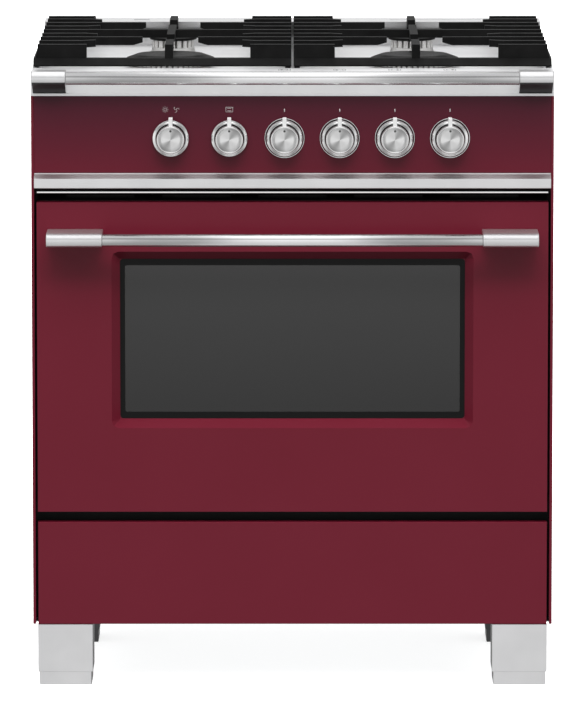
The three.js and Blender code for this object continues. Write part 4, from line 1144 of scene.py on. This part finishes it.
# %% Burner caps
def make_cap(place, side):
    name = f"burner_cap_{place}_{side}"
    low, high, centre, radius = upright(name)
    edge = (6 if radius > LARGE else 2) * MM
    step = (14 if radius > LARGE else 5) * MM
    profile = [(0, low.z)] + off_edge([(-2, 0), (-0.5, 0.4), (0, 1.3)], radius, low.z)
    profile += off_edge([(-0.2, -0.6), (-0.9, 0.3), (-2.2, 0.9)], radius, high.z - edge)
    profile += off_edge([(0, -0.9), (-2, -0.2), (-4, 0)], radius - step, high.z) + [(0, high.z)]
    cap = turned(profile, centre, "z", 72)
    make(name + "_turned", cap, cap_enamel, f"cap_{place}_{side}", [name])
    print(name, round(2 * radius / MM), "mm across")


for side in SIDES:
    for place in PLACES:
        make_cap(place, side)


# %% [markdown]
# Beside each burner stands a spark electrode: a ceramic stem with a steel pin on top.

# %% Spark electrodes
STEM = [(0, 0), (4, 0), (4, 2), (2.6, 3), (2.6, 9), (1.6, 10.5), (0, 10.5)]
PIN = [(0, 10), (0.9, 10), (0.9, 13), (0.5, 13.6), (0, 13.6)]
for side in SIDES:
    for place in PLACES:
        low, high, centre, radius = upright(f"burner_head_{place}_{side}")
        reach = radius + (12 if radius > LARGE else 9) * MM
        u, v = on_circle(reach, 60, centre)
        spot = Vector((u, v, strip_z - PAN_DEPTH))
        make(f"electrode_{place}_{side}", turned_mm(STEM, spot, "z", 20), ceramic, "cabinet")
        make(f"electrode_pin_{place}_{side}", turned_mm(PIN, spot, "z", 12), polished_steel, "cabinet")
print("electrodes", len(SIDES) * len(PLACES))

# %% [markdown]
# The grates keep the frame's bars and fingers. A casting has no sharp edge at all: a round
# of 1.8 mm on every bar is what makes it look poured rather than cut.

# %% Grates
for side in SIDES:
    finished(f"trivet_{side}", f"grate_{side}", cast_iron, 1.6, 3)
print("grates", len(SIDES))

# %% [markdown]
# ## Door
#
# The skin is one enamelled pressing with a bevelled surround round the window.

# %% Door skin and inner parts
finished("door_skin", "oven_door", red_enamel, 1.0)
finished("door_inner_panel", "oven_door", frame_enamel, 0.8)
finished("door_inner_glass", "oven_door", window_glass_painted_reflection, 0.4, 2)
finished("door_hinge", "oven_door", frame_enamel, 0.5, 2, 50)
make_bar("handle_bar", "oven_door", steel_bar)
for side in SIDES:
    finished(f"handle_bracket_{side}", "oven_door", steel_soft, 0.9, 3, 35)
print("door", round((door_high.z - door_low.z) / MM, 1), "mm high")
# %% [markdown]
# The outer pane is a flat sheet of glass. The frit is a thin printed frame on its face, with
# a rounded inner corner, so its border is crisp from every side.

# %% Window
glass_low, glass_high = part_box("door_glass")
finished("door_glass", "oven_door", window_glass_painted_reflection, 0.3, 2)
WINDOW_MARGIN = 10 * MM
FRIT_SIDE = 7.3 * MM
FRIT_TOP = 9.8 * MM
beside, above = WINDOW_MARGIN + FRIT_SIDE, WINDOW_MARGIN + FRIT_TOP
outer = (glass_low.x, glass_high.x, glass_low.z, glass_high.z)
inner = (glass_low.x + beside, glass_high.x - beside, glass_low.z + above, glass_high.z - above)


def flat_frame(outer, inner, radius_out, radius_in, y, thickness):
    solid = bmesh.new()
    loops = []
    for edges, radius in ((outer, radius_out), (inner, radius_in)):
        points = rounded_outline(*edges, radius, 6)
        for depth in (y - thickness, y):
            loops.append([solid.verts.new((u, depth, v)) for u, v in points])
    front_out, back_out, front_in, back_in = loops
    count = len(front_out)
    for i in range(count):
        j = (i + 1) % count
        solid.faces.new((front_out[i], front_out[j], front_in[j], front_in[i]))
        solid.faces.new((back_out[i], back_in[i], back_in[j], back_out[j]))
        solid.faces.new((front_out[i], back_out[i], back_out[j], front_out[j]))
        solid.faces.new((front_in[i], front_in[j], back_in[j], back_in[i]))
    bmesh.ops.recalc_face_normals(solid, faces=solid.faces)
    return solid


border = flat_frame(outer, inner, 4 * MM, 3 * MM, glass_low.y + SUNK, 0.14 * MM)
make("window_frit", border, frit, "oven_door", smooth=False)
print("clear window", round((inner[1] - inner[0]) / MM, 1), "x", round((inner[3] - inner[2]) / MM, 1), "mm")

# %% [markdown]
# ## Drawer
#
# The drawer's front is a folded pan like the door's skin, and its box is plain zinc-coated
# sheet, because only its edges are ever looked at.

# %% Drawer
finished("drawer_front", "drawer", red_enamel, 1.0)
finished("drawer_box", "drawer", galvanised, 0.5, 2)
print("drawer pieces", 2)

# %% [markdown]
# ## Floor and lights
#
# The floor is matt and white, and glows a little, so that it stays as pale as a studio's
# sweep. One soft box hangs over and before the range. Neither is mirrored by the steel.

# %% Floor
FLOOR_GLOW = 0.78
floor_paint, tree, shader = start_material("matt_white_floor", "#FFFFFF", 0.7)
shader.inputs["Emission Color"].default_value = (1, 1, 1, 1)
shader.inputs["Emission Strength"].default_value = FLOOR_GLOW
floor = shape("floor", block((-60, -60, -0.02), (60, 60, 0)), floor_paint, smooth=False)
floor.visible_glossy = False
floor.visible_diffuse = False
print("floor glow", FLOOR_GLOW)

# %% Soft box
KEY_PLACE = Vector((0, -4.0, 4.3))
KEY_AIM = Vector((0, -0.1, 0.6))
KEY_POWER = 80
box_data = bpy.data.lights.new("front_box", "AREA")
box_data.shape = "RECTANGLE"
box_data.size, box_data.size_y = 2.4, 1.2
box_data.energy = KEY_POWER
key = bpy.data.objects.new("front_box", box_data)
key.location = KEY_PLACE
key.rotation_euler = (KEY_AIM - KEY_PLACE).to_track_quat("-Z", "Y").to_euler()
key.visible_camera = False
key.visible_glossy = False
bpy.context.scene.collection.objects.link(key)
print("soft box", KEY_POWER, "W")

# %% [markdown]
# The room is brightest overhead and dimmer towards the horizon, as a studio's ceiling and
# walls are. Steel mirrors it at one strength and the matt surfaces are lit by it at another,
# because what a mirror shows in a studio is its bright screens, and what lights a panel is
# the whole room.

# %% Pale room
ROOM_BRIGHTEST = 5.0
room = bpy.data.worlds.new("pale_room")
room.use_nodes = True
sky = room.node_tree
direction = add(sky, "ShaderNodeTexCoord").outputs["Generated"]
parts = add(sky, "ShaderNodeSeparateXYZ", None, {"Vector": direction})


def room_curve(socket, low, high, stops):
    ramp = add(sky, "ShaderNodeFloatCurve")
    curve = ramp.mapping.curves[0]
    while len(curve.points) < len(stops):
        curve.points.new(0.5, 0.5)
    for point, (where, strength) in zip(curve.points, stops):
        point.location = ((where - low) / (high - low), strength / ROOM_BRIGHTEST)
        point.handle_type = "VECTOR"
    ramp.mapping.update()
    place = add(sky, "ShaderNodeMapRange", {"From Min": low, "From Max": high}, {"Value": socket})
    sky.links.new(place.outputs["Result"], ramp.inputs["Value"])
    grade = {1: ROOM_BRIGHTEST}, {0: ramp.outputs["Value"]}
    return add(sky, "ShaderNodeMath", *grade, operation="MULTIPLY").outputs[0]


# %% Grade the room by height and by side
LIT = [(-1.0, 0.15), (0.0, 0.30), (0.4, 0.45), (0.6, 1.6), (0.8, 2.6), (1.0, 2.6)]
SCREENS = [(-1.0, 0.6), (-0.3, 0.76), (0.0, 0.9), (0.2, 0.88), (0.4, 0.5), (0.58, 0.52)]
SCREENS += [(0.72, 1.15), (1.0, 1.2)]
WINGS = [(0.0, 1.1), (0.2, 1.1), (0.38, 0.5), (0.6, 0.5), (0.85, 1.05), (1.0, 1.1)]
up = parts.outputs["Z"]
aside = add(sky, "ShaderNodeMath", None, {0: parts.outputs["X"]}, operation="ABSOLUTE").outputs[0]
lit = room_curve(up, -1, 1, LIT)
graded = {0: room_curve(up, -1, 1, SCREENS), 1: room_curve(aside, 0, 1, WINGS)}
mirrored = add(sky, "ShaderNodeMath", None, graded, operation="MULTIPLY").outputs[0]
print("room stops", len(LIT) + len(SCREENS) + len(WINGS))

# %% Choose what each kind of ray meets
ray = add(sky, "ShaderNodeLightPath")
choice = {0: ray.outputs["Is Glossy Ray"], 2: lit, 3: mirrored}
pick = add(sky, "ShaderNodeMix", None, choice, data_type="FLOAT").outputs[0]
choice = {0: ray.outputs["Is Camera Ray"], 2: pick}
seen = add(sky, "ShaderNodeMix", {3: 1.0}, choice, data_type="FLOAT").outputs[0]
backdrop = sky.nodes["Background"]
sky.links.new(seen, backdrop.inputs["Strength"])
backdrop.inputs["Color"].default_value = (1, 1, 1, 1)
bpy.context.scene.world = room
print("room nodes", len(sky.nodes))
